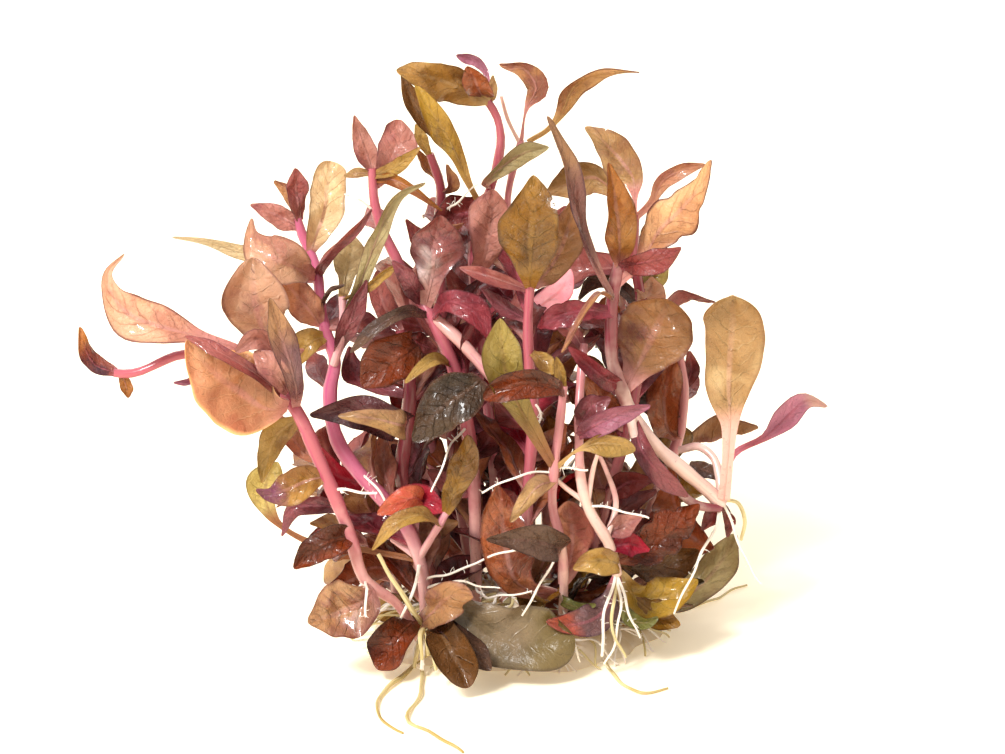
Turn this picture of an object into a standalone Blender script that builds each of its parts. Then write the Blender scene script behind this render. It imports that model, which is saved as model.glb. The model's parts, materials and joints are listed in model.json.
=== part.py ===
"""Scarlet temple: a clump of tissue-cultured aquarium plantlets standing on its own root tangle.

Every shoot is one body: a stem with its small leaves, side twigs and roots fused to it. The large
leaves are bodies of their own, and each starts a hair's breadth from the stem that carries it.

Lengths are in millimetres until a mesh is made. The front of the clump is laid out as it is seen from
a little above: a station is (across, up, depth, width), with across and up in a leaning view plane
through the origin, depth the distance behind the middle of the clump, and width the breadth there.
"""

import math

import bmesh
import bpy
from mathutils import Matrix, Vector

for old in list(bpy.data.objects):
    bpy.data.objects.remove(old, do_unlink=True)

# Driving dimensions
MM = 0.001
GAP = 0.35
LEAF_THICKNESS = 0.7
SMALL_LEAF_THICKNESS = 0.5
THICKNESS_SHARE = 0.8
CUP = 0.22
STEM_SIDES = 5
TWIG_SIDES = 4
ROOT_SIDES = 3
FLOOR_CLEARANCE = 0.02
LEAST_LEAN = 0.5
SHARP_ANGLE = math.radians(50)

# The view plane that the stations are given in
VIEW_TILT = math.radians(20)
VIEW_REACH = 500
VIEW_MIDDLE = (-1.75, 25.3)

# Root tangle: a low mound with a flat underside
TANGLE_MIDDLE = (-1.0, -1.0)
TANGLE_HALF_LENGTH = 16.0
TANGLE_HALF_DEPTH = 11.0
TANGLE_HEIGHT = 4.5
TANGLE_RIM = 0.5
TANGLE_DIP = 0.3
TANGLE_SEGMENTS = 20
TANGLE_RINGS = (1.0, 1.0, 0.9, 0.72, 0.5, 0.26)

# Waves of the mound's outline: how many, where they start, and their share of its radius
TANGLE_WAVES = ((3, 1.0, 0.04), (7, 0.0, 0.03))

# Rule for the shoots behind the middle
BACK_LEAF_LENGTH = 9.0
BACK_LEAF_WIDTH = 4.2
BACK_LEAF_SHOULDER = 0.22
BACK_STEM_WIDTH = 1.1
BACK_STEM_LEAN = 0.4
BACK_PAIR_PLACES = (0.38, 0.58, 0.78, 0.97)
BACK_LEAF_RISE = math.radians(42)
BACK_PAIR_STEP = 0.35
PETIOLE_WIDTH = 0.7
TIP_WIDTH = 0.3

# Colours, as red, green and blue
BRONZE = (0.42, 0.16, 0.05)
OLIVE = (0.28, 0.20, 0.05)
GOLD = (0.46, 0.27, 0.08)
PEACH = (0.62, 0.31, 0.16)
ROSE = (0.33, 0.10, 0.07)
PLUM = (0.16, 0.03, 0.06)
MAROON = (0.20, 0.04, 0.04)
CRIMSON = (0.40, 0.02, 0.04)
OCHRE = (0.40, 0.24, 0.06)
TAN = (0.45, 0.24, 0.10)
DARK = (0.07, 0.035, 0.02)
MAUVE = (0.28, 0.18, 0.14)
STEM_PINK = (0.66, 0.28, 0.30)
ROOT_CREAM = (0.72, 0.60, 0.40)
STEM_ROUGHNESS = 0.45
LEAF_ROUGHNESS = 0.35
ROOT_ROUGHNESS = 0.6

# The lines that each shoot's stem and twigs follow, kept as the shoots are made
AXES = {}


def eye_place():
    """The point that the view plane is seen from."""
    across, up = VIEW_MIDDLE
    y = up * math.sin(VIEW_TILT) - VIEW_REACH * math.cos(VIEW_TILT)
    z = up * math.cos(VIEW_TILT) + VIEW_REACH * math.sin(VIEW_TILT)
    return Vector((across, y, z))


def place(across, up, depth):
    """The point at a depth that is seen at this place across and up in the view plane."""
    middle_across, middle_up = VIEW_MIDDLE
    rise = up - middle_up
    far = 1 + depth * math.cos(VIEW_TILT) / VIEW_REACH
    z = middle_up + rise * far - depth * math.sin(VIEW_TILT)
    z /= math.cos(VIEW_TILT) + rise * math.sin(VIEW_TILT) / VIEW_REACH
    away = depth * math.cos(VIEW_TILT) - z * math.sin(VIEW_TILT)
    x = middle_across + (across - middle_across) * (1 + away / VIEW_REACH)
    return Vector((x, depth, z))


def seen(stations):
    """Stations of the view plane as (point, width) pairs."""
    return [(place(across, up, depth), width) for across, up, depth, width in stations]


def on_floor(across, up, width):
    """A station that lies on the surface under the clump, where it is seen at this place."""
    height = width / 2 + FLOOR_CLEARANCE
    rise = up - VIEW_MIDDLE[1]
    drop = up - height * math.cos(VIEW_TILT) - rise * height * math.sin(VIEW_TILT) / VIEW_REACH
    depth = drop / (math.sin(VIEW_TILT) - rise * math.cos(VIEW_TILT) / VIEW_REACH)
    return (place(across, up, depth), width)


def tangle_top(x, y):
    """Height of the root tangle's mound."""
    along = (x - TANGLE_MIDDLE[0]) / TANGLE_HALF_LENGTH
    deep = (y - TANGLE_MIDDLE[1]) / TANGLE_HALF_DEPTH
    return TANGLE_HEIGHT * math.sqrt(max(0.0, 1 - along**2 - deep**2))


def foot(x, y, width):
    """A stem's lowest station, just clear of the mound."""
    return (Vector((x, y, tangle_top(x, y) + 2 * GAP)), width)


def nearest_on(lines, point):
    """Closest point on any of the lines, with the direction and the width there."""
    found = None
    for line in lines:
        for (start, start_width), (end, end_width) in zip(line, line[1:]):
            run = end - start
            share = min(1.0, max(0.0, (point - start).dot(run) / run.length_squared))
            closest = start + run * share
            distance = (point - closest).length
            if found is None or distance < found[0]:
                width = start_width + (end_width - start_width) * share
                found = (distance, closest, run.normalized(), width)
    return found[1:]


def mesh_object(name, corners, faces):
    """An object of closed triangles, scaled from millimetres to metres."""
    mesh = bpy.data.meshes.new(name)
    mesh.from_pydata([corner * MM for corner in corners], [], faces)
    shape = bmesh.new()
    shape.from_mesh(mesh)
    if shape.calc_volume(signed=True) < 0:
        bmesh.ops.reverse_faces(shape, faces=shape.faces[:])
    shape.to_mesh(mesh)
    shape.free()
    made = bpy.data.objects.new(name, mesh)
    bpy.context.collection.objects.link(made)
    return made


def skin(shape, colour, roughness):
    """Gives an object a material of its own, and smooth faces with sharp rims."""
    material = bpy.data.materials.new(shape.name + "_surface")
    material.use_nodes = True
    shader = material.node_tree.nodes["Principled BSDF"]
    shader.inputs["Base Color"].default_value = (*colour, 1)
    shader.inputs["Roughness"].default_value = roughness
    shader.inputs["Metallic"].default_value = 0
    shape.data.materials.clear()
    shape.data.materials.append(material)
    shape.data.shade_smooth()
    shape.data.set_sharp_from_angle(angle=SHARP_ANGLE)


def tangents(points):
    """Unit direction at each point of a line."""
    ends = [points[0], *points, points[-1]]
    return [(after - before).normalized() for before, after in zip(ends, ends[2:])]


def square_to(direction, along):
    """The part of a direction that is square to a line."""
    return (direction - along * direction.dot(along)).normalized()


def ring_faces(first, second, sides):
    """Triangles between two rings of corner numbers."""
    faces = []
    for side in range(sides):
        after = (side + 1) % sides
        faces.append((first[side], first[after], second[after]))
        faces.append((first[side], second[after], second[side]))
    return faces


def tube(name, stations, sides):
    """A round-sided stem or root through its stations."""
    points = [point for point, width in stations]
    corners = []
    rings = []
    across = None
    for (point, width), along in zip(stations, tangents(points)):
        if across is None:
            across = along.orthogonal().normalized()
        across = square_to(across, along)
        other = along.cross(across)
        ring = []
        for side in range(sides):
            angle = math.tau * side / sides
            ring.append(len(corners))
            corners.append(point + (across * math.cos(angle) + other * math.sin(angle)) * width / 2)
        rings.append(ring)
    faces = []
    for first, second in zip(rings, rings[1:]):
        faces += ring_faces(first, second, sides)
    base, end = rings[0], rings[-1]
    faces += [(base[0], base[side + 1], base[side]) for side in range(1, sides - 1)]
    faces += [(end[0], end[side], end[side + 1]) for side in range(1, sides - 1)]
    return mesh_object(name, corners, faces)


def leaf_normals(stations, turn, facing):
    """Upward direction of a leaf at each station, set at its widest one and carried along from there."""
    points = [point for point, width in stations]
    alongs = tangents(points)
    widest = max(range(len(stations)), key=lambda number: stations[number][1])
    look = facing if facing else eye_place() - points[widest]
    normals = [None] * len(stations)
    turned = Matrix.Rotation(math.radians(turn), 3, alongs[widest])
    normals[widest] = turned @ square_to(look, alongs[widest])
    for number in range(widest - 1, -1, -1):
        normals[number] = square_to(normals[number + 1], alongs[number])
    for number in range(widest + 1, len(stations)):
        normals[number] = square_to(normals[number - 1], alongs[number])
    return alongs, normals


def blade(name, stations, turn, thickness, facing=None):
    """A leaf with a four-cornered section: two rims, a midrib above and one below.

    At its widest it looks at the eye, or along facing, before it is turned about its midrib.
    """
    corners = []
    rings = []
    alongs, normals = leaf_normals(stations, turn, facing)
    for (point, width), along, normal in list(zip(stations, alongs, normals))[:-1]:
        side = along.cross(normal)
        depth = min(thickness, width * THICKNESS_SHARE) / 2
        rim = normal * (CUP * width / 2)
        rings.append(list(range(len(corners), len(corners) + 4)))
        corners.append(point + side * width / 2 + rim)
        corners.append(point + normal * depth)
        corners.append(point - side * width / 2 + rim)
        corners.append(point - normal * depth)
    faces = []
    for first, second in zip(rings, rings[1:]):
        faces += ring_faces(first, second, 4)
    tip = len(corners)
    corners.append(stations[-1][0])
    last = rings[-1]
    faces += [(last[corner], last[(corner + 1) % 4], tip) for corner in range(4)]
    base = rings[0]
    faces += [(base[1], base[0], base[3]), (base[3], base[2], base[1])]
    return mesh_object(name, corners, faces)


def fuse(trunk, limbs):
    """Joins limbs to their trunk in one body."""
    for limb in limbs:
        union = trunk.modifiers.new(limb.name, "BOOLEAN")
        union.operation = "UNION"
        union.object = limb
        limb.hide_render = True
        limb.display_type = "WIRE"


def started_on(lines, route):
    """The route with its first station moved onto the closest of the lines."""
    (wanted, width), *others = route
    return [(nearest_on(lines, wanted)[0], width), *others]


def shoot(name, colour, stem, twigs=(), blades=(), roots=(), floor_roots=()):
    """A stem with side twigs, small leaves and roots that all start on its axis.

    A floor root starts on another root and lies on the surface from there.
    """
    trunk = tube(name, stem, STEM_SIDES)
    lines = [stem]
    limbs = []
    for number, stations in enumerate(twigs):
        route = started_on(lines, seen(stations))
        limbs.append(tube(f"{name}_twig_{number}", route, TWIG_SIDES))
        lines.append(route)
    for number, (turn, stations) in enumerate(blades):
        route = started_on(lines, seen(stations))
        limbs.append(blade(f"{name}_blade_{number}", route, turn, SMALL_LEAF_THICKNESS))
    root_lines = []
    for number, stations in enumerate(roots):
        root_lines.append(started_on(lines, seen(stations)))
        limbs.append(tube(f"{name}_root_{number}", root_lines[-1], ROOT_SIDES))
    for number, stations in enumerate(floor_roots):
        route = started_on(root_lines, [on_floor(*station) for station in stations])
        limbs.append(tube(f"{name}_floor_root_{number}", route, ROOT_SIDES))
    fuse(trunk, limbs)
    AXES[name] = lines
    skin(trunk, colour, STEM_ROUGHNESS)


def leaf(name, colour, stem_name, turn, stations):
    """A large leaf, whose petiole starts a gap away from the stem that carries it."""
    route = seen(stations)
    (wanted, width), (second, _) = route[:2]
    axis_point, along, stem_width = nearest_on(AXES[stem_name], wanted)
    outward = (second - axis_point).normalized()
    lean = max(LEAST_LEAN, outward.cross(along).length)
    clear = (stem_width / 2 + GAP + width / 4) / lean
    route[0] = (axis_point + outward * clear, width)
    skin(blade(name, route, turn, LEAF_THICKNESS), colour, LEAF_ROUGHNESS)


def tangle_reach(angle):
    """The mound's wavy radius, as a share of its plain ellipse."""
    return 1 + sum(share * math.sin(waves * angle + phase) for waves, phase, share in TANGLE_WAVES)


def root_tangle():
    """The mound that the clump stands on, with a lumpy top and a flat underside."""
    corners = []
    rings = []
    for level, ring_share in enumerate(TANGLE_RINGS):
        ring = []
        for number in range(TANGLE_SEGMENTS):
            angle = math.tau * number / TANGLE_SEGMENTS
            reach = ring_share * tangle_reach(angle)
            x = TANGLE_MIDDLE[0] + TANGLE_HALF_LENGTH * reach * math.cos(angle)
            y = TANGLE_MIDDLE[1] + TANGLE_HALF_DEPTH * reach * math.sin(angle)
            lumpy = tangle_top(x, y) - TANGLE_DIP * (number % 2)
            z = 0.0 if level == 0 else max(TANGLE_RIM, lumpy)
            ring.append(len(corners))
            corners.append(Vector((x, y, z)))
        rings.append(ring)
    faces = []
    for first, second in zip(rings, rings[1:]):
        faces += ring_faces(first, second, TANGLE_SEGMENTS)
    top = len(corners)
    corners.append(Vector((*TANGLE_MIDDLE, TANGLE_HEIGHT)))
    last = rings[-1]
    faces += [(corner, after, top) for corner, after in zip(last, last[1:] + last[:1])]
    faces.append(tuple(reversed(rings[0])))
    skin(mesh_object("root_tangle", corners, faces), ROOT_CREAM, ROOT_ROUGHNESS)


root_tangle()

# Left: the long shoot that leans out to the far left
shoot(
    "shoot_far_left",
    STEM_PINK,
    [foot(-9.6, -7.0, 1.0)]
    + seen([
        (-12.5, 2.8, -9.5, 1.0),
        (-15.5, 5.0, -11.0, 1.2),
        (-17.0, 9.5, -11.0, 1.3),
        (-18.8, 14.0, -11.0, 1.4),
        (-20.3, 17.5, -11.0, 1.4),
        (-22.4, 22.0, -10.5, 1.4),
        (-24.5, 24.6, -8.5, 1.1),
        (-28.0, 26.3, -8.0, 0.9),
        (-33.3, 27.6, -8.5, 0.9),
        (-39.5, 25.6, -9.0, 0.9),
        (-40.6, 25.7, -9.0, 0.8),
    ]),
    blades=[
        (20, [(-40.4, 25.7, -9, 0.8), (-42.5, 26.6, -9, 2.2), (-43.6, 28.6, -9, 1.6),
              (-43.8, 30.2, -9, 0.2)]),
        (0, [(-39.8, 25.6, -9, 0.6), (-39.4, 24.4, -9, 1.4), (-39.1, 23.2, -9, 0.2)]),
        (40, [(-31.0, 27.0, -8, 0.5), (-32.4, 25.0, -7.5, 1.0), (-34.6, 24.6, -7.5, 0.2)]),
        (60, [(-22.8, 22.8, -10.5, 0.7), (-22.9, 25.0, -14, 1.5), (-24.0, 28.0, -15, 1.6),
              (-25.0, 30.7, -15, 0.2)]),
        (0, [(-24.4, 24.6, -9, 0.7), (-25.0, 28.0, -10, 1.8), (-26.8, 29.2, -10.4, 1.2),
             (-28.4, 28.2, -10.4, 0.2)]),
        (0, [(-22.0, 21.2, -10.5, 0.8), (-24.2, 19.6, -10.4, 2.6), (-25.2, 17.4, -10.4, 2.2),
             (-26.0, 14.6, -10.4, 0.2)]),
        (0, [(-20.0, 16.8, -11, 0.8), (-21.9, 18.2, -8.6, 2.0), (-23.4, 20.0, -8.2, 2.0),
             (-24.6, 21.8, -8, 0.2)]),
        (0, [(-17.6, 12.0, -11, 0.7), (-19.8, 12.4, -8.4, 1.6), (-22.4, 12.2, -8, 1.6),
             (-23.8, 9.4, -8, 0.2)]),
        (0, [(-17.0, 9.8, -11, 0.7), (-18.8, 10.6, -8.8, 1.8), (-21.0, 10.6, -8.6, 0.2)]),
        (0, [(-16.9, 9.2, -11, 0.9), (-18.6, 9.0, -12.4, 2.8), (-20.6, 8.0, -12.6, 3.2),
             (-22.5, 6.3, -12.6, 0.3)]),
        (0, [(-10.4, 1.0, -7.5, 0.9), (-12.2, -0.6, -12, 3.4), (-13.4, -2.4, -12.4, 4.0),
             (-14.2, -3.8, -12.6, 0.4)]),
        (0, [(-9.9, 0.6, -7.5, 0.9), (-9.0, 1.2, -12.4, 1.8), (-7.4, 2.6, -14, 2.6),
             (-5.0, 4.3, -14, 0.3)]),
    ],
    roots=[
        [(-15.5, 5.0, -11, 0.4), (-17.0, 3.5, -12, 0.35), (-20.0, 1.6, -12.5, 0.3)],
        [(-15.5, 5.0, -11, 0.4), (-15.4, 3.6, -14.4, 0.35), (-15.4, 1.3, -15.0, 0.3)],
        [(-18.7, 14.0, -11, 0.4), (-16.5, 13.9, -12.4, 0.35), (-14.3, 13.7, -12.6, 0.3)],
        [(-9.7, 0.2, -7.5, 0.5), (-9.6, -1.5, -10.5, 0.5), (-9.8, -4.0, -12.3, 0.5)],
        [(-9.9, 0.2, -7.5, 0.5), (-10.3, -1.6, -9.5, 0.5), (-10.5, -3.4, -11.5, 0.5)],
    ],
    floor_roots=[
        [(-9.8, -4.0, 0.5), (-10.0, -6.5, 0.5), (-11.0, -8.0, 0.5), (-11.2, -9.0, 0.45),
         (-9.5, -10.0, 0.4), (-7.0, -11.3, 0.4), (-5.7, -12.2, 0.35)],
        [(-10.5, -3.4, 0.5), (-11.8, -4.7, 0.7), (-13.6, -6.0, 0.6), (-14.2, -8.0, 0.4),
         (-13.7, -9.2, 0.35), (-11.7, -10.3, 0.3)],
    ],
)
leaf("leaf_bronze_left", BRONZE, "shoot_far_left", -8, [
    (-23.4, 22.6, -11.5, 1.1), (-25.6, 22.2, -13.2, 4.0), (-28.0, 23.7, -14.2, 6.8),
    (-30.0, 25.2, -14.8, 6.6), (-31.9, 27.1, -15.0, 3.8), (-33.4, 29.2, -15.0, 0.4),
])
leaf("leaf_peach_tail", PEACH, "shoot_far_left", 12, [
    (-25.4, 25.4, -8.6, 0.9), (-28.2, 28.0, -11.2, 0.9), (-32.6, 29.4, -11.6, 1.5),
    (-36.0, 30.4, -11.6, 3.6),
    (-38.8, 31.4, -11.0, 4.2), (-40.6, 33.2, -10.2, 2.2), (-41.2, 35.6, -9.2, 0.8),
    (-39.5, 37.6, -8.4, 0.2),
])
leaf("leaf_tan_left", TAN, "shoot_far_left", 0, [
    (-19.3, 15.4, -11.0, 0.9), (-21.6, 14.8, -12.2, 2.8), (-23.4, 14.0, -12.4, 3.0),
    (-25.0, 13.6, -12.4, 1.4), (-26.4, 14.0, -12.4, 0.3),
])
leaf("leaf_glossy_wrinkled", BRONZE, "shoot_far_left", 0, [
    (-14.9, 4.2, -11.2, 1.0), (-16.0, 2.6, -12.8, 4.0), (-17.6, 1.9, -13.2, 6.0),
    (-19.6, 1.2, -13.8, 5.0), (-21.2, 0.8, -14.4, 0.6),
])
leaf("leaf_brown_front", MAUVE, "shoot_far_left", 0, [
    (-8.8, -0.2, -8.4, 0.8), (-7.6, -1.2, -13.4, 2.8), (-6.9, -2.6, -15.4, 4.4),
    (-5.8, -4.4, -16.6, 3.0), (-5.3, -5.5, -17.0, 0.4),
])

# Left: the upright shoot behind it
shoot(
    "shoot_left",
    STEM_PINK,
    [foot(-9.4, -3.0, 1.1)]
    + seen([
        (-10.1, 7.2, -6.5, 1.3),
        (-11.2, 10.0, -7.0, 1.4),
        (-13.8, 13.2, -7.5, 1.5),
        (-16.2, 15.8, -7.0, 1.5),
        (-18.2, 18.8, -5.5, 1.5),
        (-19.0, 24.0, -4.0, 1.4),
        (-18.5, 27.0, -3.5, 1.3),
        (-19.5, 30.0, -3.0, 1.2),
        (-20.0, 33.0, -2.5, 1.1),
        (-20.3, 36.0, -1.5, 1.0),
        (-22.0, 40.2, 0.0, 0.9),
        (-22.2, 41.2, 0.0, 0.7),
    ]),
    twigs=[
        [(-10.1, 7.2, -6.5, 0.8), (-8.2, 10.3, -9.0, 0.8), (-7.3, 11.8, -9.6, 0.7)],
        [(-10.1, 7.2, -6.5, 0.8), (-12.8, 9.2, -5.2, 0.7)],
        [(-18.6, 26.6, -4.0, 0.9), (-17.7, 30.0, -5.4, 0.9), (-17.8, 33.4, -5.4, 0.7)],
    ],
    blades=[
        (0, [(-22.0, 40.3, 0, 0.8), (-23.8, 41.2, 0.2, 2.0), (-25.6, 42.0, 0.2, 1.6),
             (-27.0, 42.5, 0.2, 0.2)]),
        (50, [(-22.1, 41.0, 0, 0.8), (-22.2, 43.0, 0, 1.7), (-22.4, 44.8, 0, 1.3),
              (-22.5, 46.2, 0, 0.2)]),
        (0, [(-22.2, 41.0, 0, 0.6), (-22.9, 43.6, 1.4, 1.5), (-24.6, 44.9, 1.8, 0.3)]),
        (40, [(-20.3, 35.6, -2, 0.6), (-19.6, 37.2, -4.6, 1.3), (-17.0, 39.6, -5.6, 1.3),
              (-14.7, 41.9, -5.6, 0.2)]),
        (0, [(-17.8, 33.2, -5.4, 0.7), (-17.4, 35.5, -3.6, 2.2), (-17.0, 38.0, -3.4, 3.0),
             (-16.9, 39.6, -3.2, 0.5)]),
        (30, [(-18.2, 27.8, -4.6, 0.8), (-17.2, 30.4, -6.6, 2.0), (-16.2, 32.8, -7, 1.6),
              (-15.0, 34.6, -7, 0.2)]),
        (60, [(-20.1, 31.5, -3, 0.5), (-19.1, 33.9, -5, 0.8), (-17.6, 34.6, -7, 0.2)]),
        (0, [(-20.1, 31.2, -3, 0.6), (-21.6, 32.4, -4.6, 2.2), (-22.8, 33.4, -4.8, 1.6),
             (-23.7, 34.2, -4.8, 0.2)]),
        (75, [(-20.4, 36.4, -1.4, 0.6), (-27.2, 37.6, -1.0, 0.8), (-31.0, 38.3, -1.0, 0.7),
              (-34.8, 39.2, -1.0, 0.2)]),
        (30, [(-17.8, 30.6, -5.4, 0.6), (-15.9, 34.8, -6.4, 1.3), (-14.2, 39.4, -6.6, 1.5),
              (-12.2, 43.4, -6.6, 1.3),
              (-9.5, 44.8, -6.6, 0.2)]),
        (0, [(-19.0, 24.2, -4, 0.7), (-20.2, 26.0, -0.4, 2.4), (-20.6, 27.4, 2.6, 0.3)]),
        (0, [(-19.6, 30.4, -3, 0.7), (-18.4, 32.2, 0.6, 2.4), (-17.8, 33.6, 3.4, 0.3)]),
        (20, [(-20.2, 35.0, -2, 0.7), (-21.8, 35.8, 1.4, 2.2), (-23.0, 36.4, 4, 0.3)]),
        (0, [(-8.0, 10.6, -9.2, 0.6), (-10.2, 11.5, -12, 1.6), (-12.4, 10.7, -12.8, 1.6),
             (-14.8, 8.0, -12.8, 0.2)]),
    ],
    roots=[
        [(-10.0, 6.9, -6.5, 0.5), (-11.0, 3.0, -9.4, 0.4), (-13.0, -1.0, -9.8, 0.3)],
        [(-16.0, 15.7, -7, 0.4), (-14.6, 14.6, -9.0, 0.3), (-13.2, 12.2, -10, 0.3)],
    ],
)
leaf("leaf_tan_folded", TAN, "shoot_left", 15, [
    (-21.0, 37.8, -0.8, 0.8), (-19.9, 40.6, -1.0, 2.6), (-19.4, 43.0, 0.2, 3.5),
    (-19.1, 45.2, 1.6, 2.6), (-19.0, 46.9, 2.8, 0.5),
])
leaf("leaf_bronze_arch", BRONZE, "shoot_left", 0, [
    (-20.6, 35.4, -1.8, 0.8), (-22.6, 37.2, -5.6, 2.2), (-24.4, 38.0, -6.8, 3.2),
    (-26.2, 38.4, -6.4, 2.6), (-27.0, 39.8, -5.4, 1.2), (-27.0, 41.4, -4.6, 0.2),
])
leaf("leaf_salmon_round", ROSE, "shoot_left", 0, [
    (-19.3, 28.6, -3.4, 0.7), (-23.4, 28.4, -5.0, 0.8), (-26.2, 29.6, -6.2, 1.8),
    (-27.3, 31.8, -7.0, 3.8),
    (-27.8, 34.2, -7.4, 4.0), (-28.0, 36.9, -7.4, 0.6),
])
leaf("leaf_olive_brown", OLIVE, "shoot_left", 0, [
    (-7.3, 11.8, -9.6, 0.8), (-6.6, 14.0, -11.0, 2.4), (-5.7, 16.4, -11.2, 3.2),
    (-5.3, 18.0, -11.0, 2.0), (-5.2, 19.4, -11.0, 0.3),
])

# Left: an inner shoot with the folded plum leaf
shoot(
    "shoot_inner_left",
    STEM_PINK,
    [foot(-7.4, 0.8, 1.1)]
    + seen([
        (-10.4, 9.5, -3.0, 1.2),
        (-11.8, 15.0, -3.6, 1.4),
        (-11.2, 21.0, -3.8, 1.4),
        (-11.0, 24.5, -3.6, 1.3),
        (-12.0, 30.0, -2.6, 1.0),
    ]),
    blades=[
        (0, [(-11.7, 13.0, -3.5, 0.8), (-11.9, 13.2, -6.5, 1.4), (-11.2, 13.3, -9.0, 2.4),
             (-9.6, 12.9, -10.0, 2.0),
             (-8.0, 12.6, -10.4, 0.3)]),
        (20, [(-11.0, 23.4, -3.6, 0.8), (-14.4, 24.4, -2.6, 2.0), (-16.6, 25.6, -1.6, 2.6),
              (-17.2, 28.4, -1.2, 0.3)]),
        (0, [(-11.9, 29.8, -2.6, 0.7), (-13.2, 31.6, -2, 2.4), (-14.0, 33.8, -1.6, 2.0),
             (-14.2, 36.0, -1.4, 0.3)]),
        (0, [(-11.8, 29.6, -2.6, 0.7), (-10.0, 28.6, -1.6, 2.2), (-8.4, 28.0, -0.8, 0.3)]),
        (0, [(-11.2, 21.0, -3.8, 0.7), (-9.6, 22.6, -0.6, 2.4), (-8.8, 24.0, 2, 0.3)]),
        (0, [(-10.2, 9.0, -2.8, 0.7), (-8.0, 10.2, -3.2, 2.4), (-6.2, 10.8, -3.4, 0.3)]),
    ],
)
leaf("leaf_plum_folded", PLUM, "shoot_inner_left", 0, [
    (-11.4, 20.4, -3.8, 1.0), (-13.2, 20.6, -8.2, 3.6), (-15.4, 21.5, -8.8, 3.6),
    (-18.2, 21.8, -8.8, 2.0), (-21.0, 21.5, -8.6, 0.3),
])
leaf("leaf_red_brown", MAROON, "shoot_inner_left", 0, [
    (-11.6, 28.4, -3.0, 0.9), (-10.6, 28.4, -7.4, 3.6), (-12.3, 27.2, -8.2, 5.2),
    (-14.2, 25.8, -8.2, 3.8), (-15.8, 24.4, -8.2, 0.5),
])

# Upper left
shoot(
    "shoot_upper_left",
    STEM_PINK,
    [foot(-4.4, -2.2, 1.2)]
    + seen([
        (-4.5, 12.0, -4.0, 1.3),
        (-5.2, 20.0, -4.8, 1.4),
        (-6.7, 26.4, -5.4, 1.4),
        (-9.0, 31.5, -5.0, 1.3),
        (-10.0, 33.0, -4.2, 1.2),
        (-11.8, 36.0, -3.0, 1.1),
        (-12.8, 38.0, -2.5, 1.1),
        (-13.8, 40.0, -2.0, 1.0),
        (-14.5, 42.5, -1.5, 1.0),
        (-14.8, 46.2, -1.0, 0.8),
    ]),
    twigs=[
        [(-7.4, 28.2, -5.2, 1.1), (-5.4, 28.8, -7.6, 1.1), (-3.8, 26.5, -8.2, 1.1),
         (-2.8, 22.0, -7.4, 1.0)],
    ],
    blades=[
        (0, [(-14.8, 46.0, -1, 0.7), (-15.5, 48.0, -1, 2.0), (-16.1, 49.7, -1, 1.7),
             (-16.6, 51.5, -1, 0.2)]),
        (0, [(-14.8, 45.6, -1, 0.5), (-16.2, 45.7, -1, 1.0), (-17.6, 45.4, -1, 0.2)]),
        (0, [(-14.6, 45.0, -1, 0.6), (-12.6, 45.0, -2.4, 1.2), (-11.0, 44.2, -3, 0.9),
             (-7.8, 41.8, -3, 0.2)]),
        (0, [(-14.7, 45.4, -1, 0.6), (-12.0, 46.6, -2.6, 1.6), (-10.0, 48.2, -3, 0.2)]),
        (0, [(-9.8, 32.8, -4.4, 0.7), (-10.8, 34.4, -7, 2.0), (-11.7, 35.8, -7.4, 1.8),
             (-12.8, 36.8, -7.4, 0.2)]),
        (0, [(-9.1, 31.6, -5, 0.7), (-12.0, 31.6, -9.4, 1.3), (-14.8, 29.9, -10.4, 1.3),
             (-17.0, 27.7, -10.6, 0.2)]),
        (0, [(-8.8, 31.2, -5, 0.7), (-6.8, 32.8, -8.6, 2.2), (-4.6, 31.8, -9.4, 2.8),
             (-3.2, 29.4, -9.6, 0.5)]),
        (0, [(-6.8, 26.6, -5.4, 0.6), (-9.0, 26.9, -9.4, 1.3), (-11.5, 24.7, -10.6, 0.3)]),
        (0, [(-13.6, 39.6, -2, 0.7), (-14.6, 41.2, 1.4, 2.2), (-15.2, 42.6, 4, 0.3)]),
        (0, [(-4.9, 17.0, -4.5, 0.7), (-3.4, 18.6, -3, 2.4), (-2.2, 20.4, -2.4, 0.3)]),
        (0, [(-4.6, 13.5, -4.2, 0.7), (-7.0, 14.6, -3.4, 2.6), (-9.2, 16.0, -3.0, 0.3)]),
    ],
    roots=[
        [(-5.3, 20.4, -4.8, 0.4), (-6.9, 18.4, -8.6, 0.3), (-8.9, 13.8, -11.6, 0.25)],
    ],
)
leaf("leaf_rose_behind", ROSE, "shoot_upper_left", -12, [
    (-14.4, 44.4, -1.0, 0.8), (-13.0, 46.6, 1.6, 3.0), (-12.3, 48.2, 3.0, 4.0),
    (-12.0, 49.8, 4.2, 2.6), (-12.0, 50.8, 5.0, 0.4),
])
leaf("leaf_maroon_white", ROSE, "shoot_upper_left", 0, [
    (-9.4, 32.2, -4.6, 0.9), (-8.7, 35.8, -6.0, 2.8), (-8.5, 38.0, -5.8, 5.0),
    (-8.2, 40.0, -5.4, 3.8), (-8.0, 41.6, -5.2, 0.5),
])
leaf("leaf_dark_glossy", DARK, "shoot_upper_left", 14, [
    (-6.2, 25.0, -5.2, 0.9), (-5.4, 24.6, -9.6, 3.4), (-6.6, 23.3, -10.6, 5.6),
    (-8.2, 22.0, -10.8, 4.4), (-9.8, 20.6, -10.8, 0.4),
])

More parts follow.
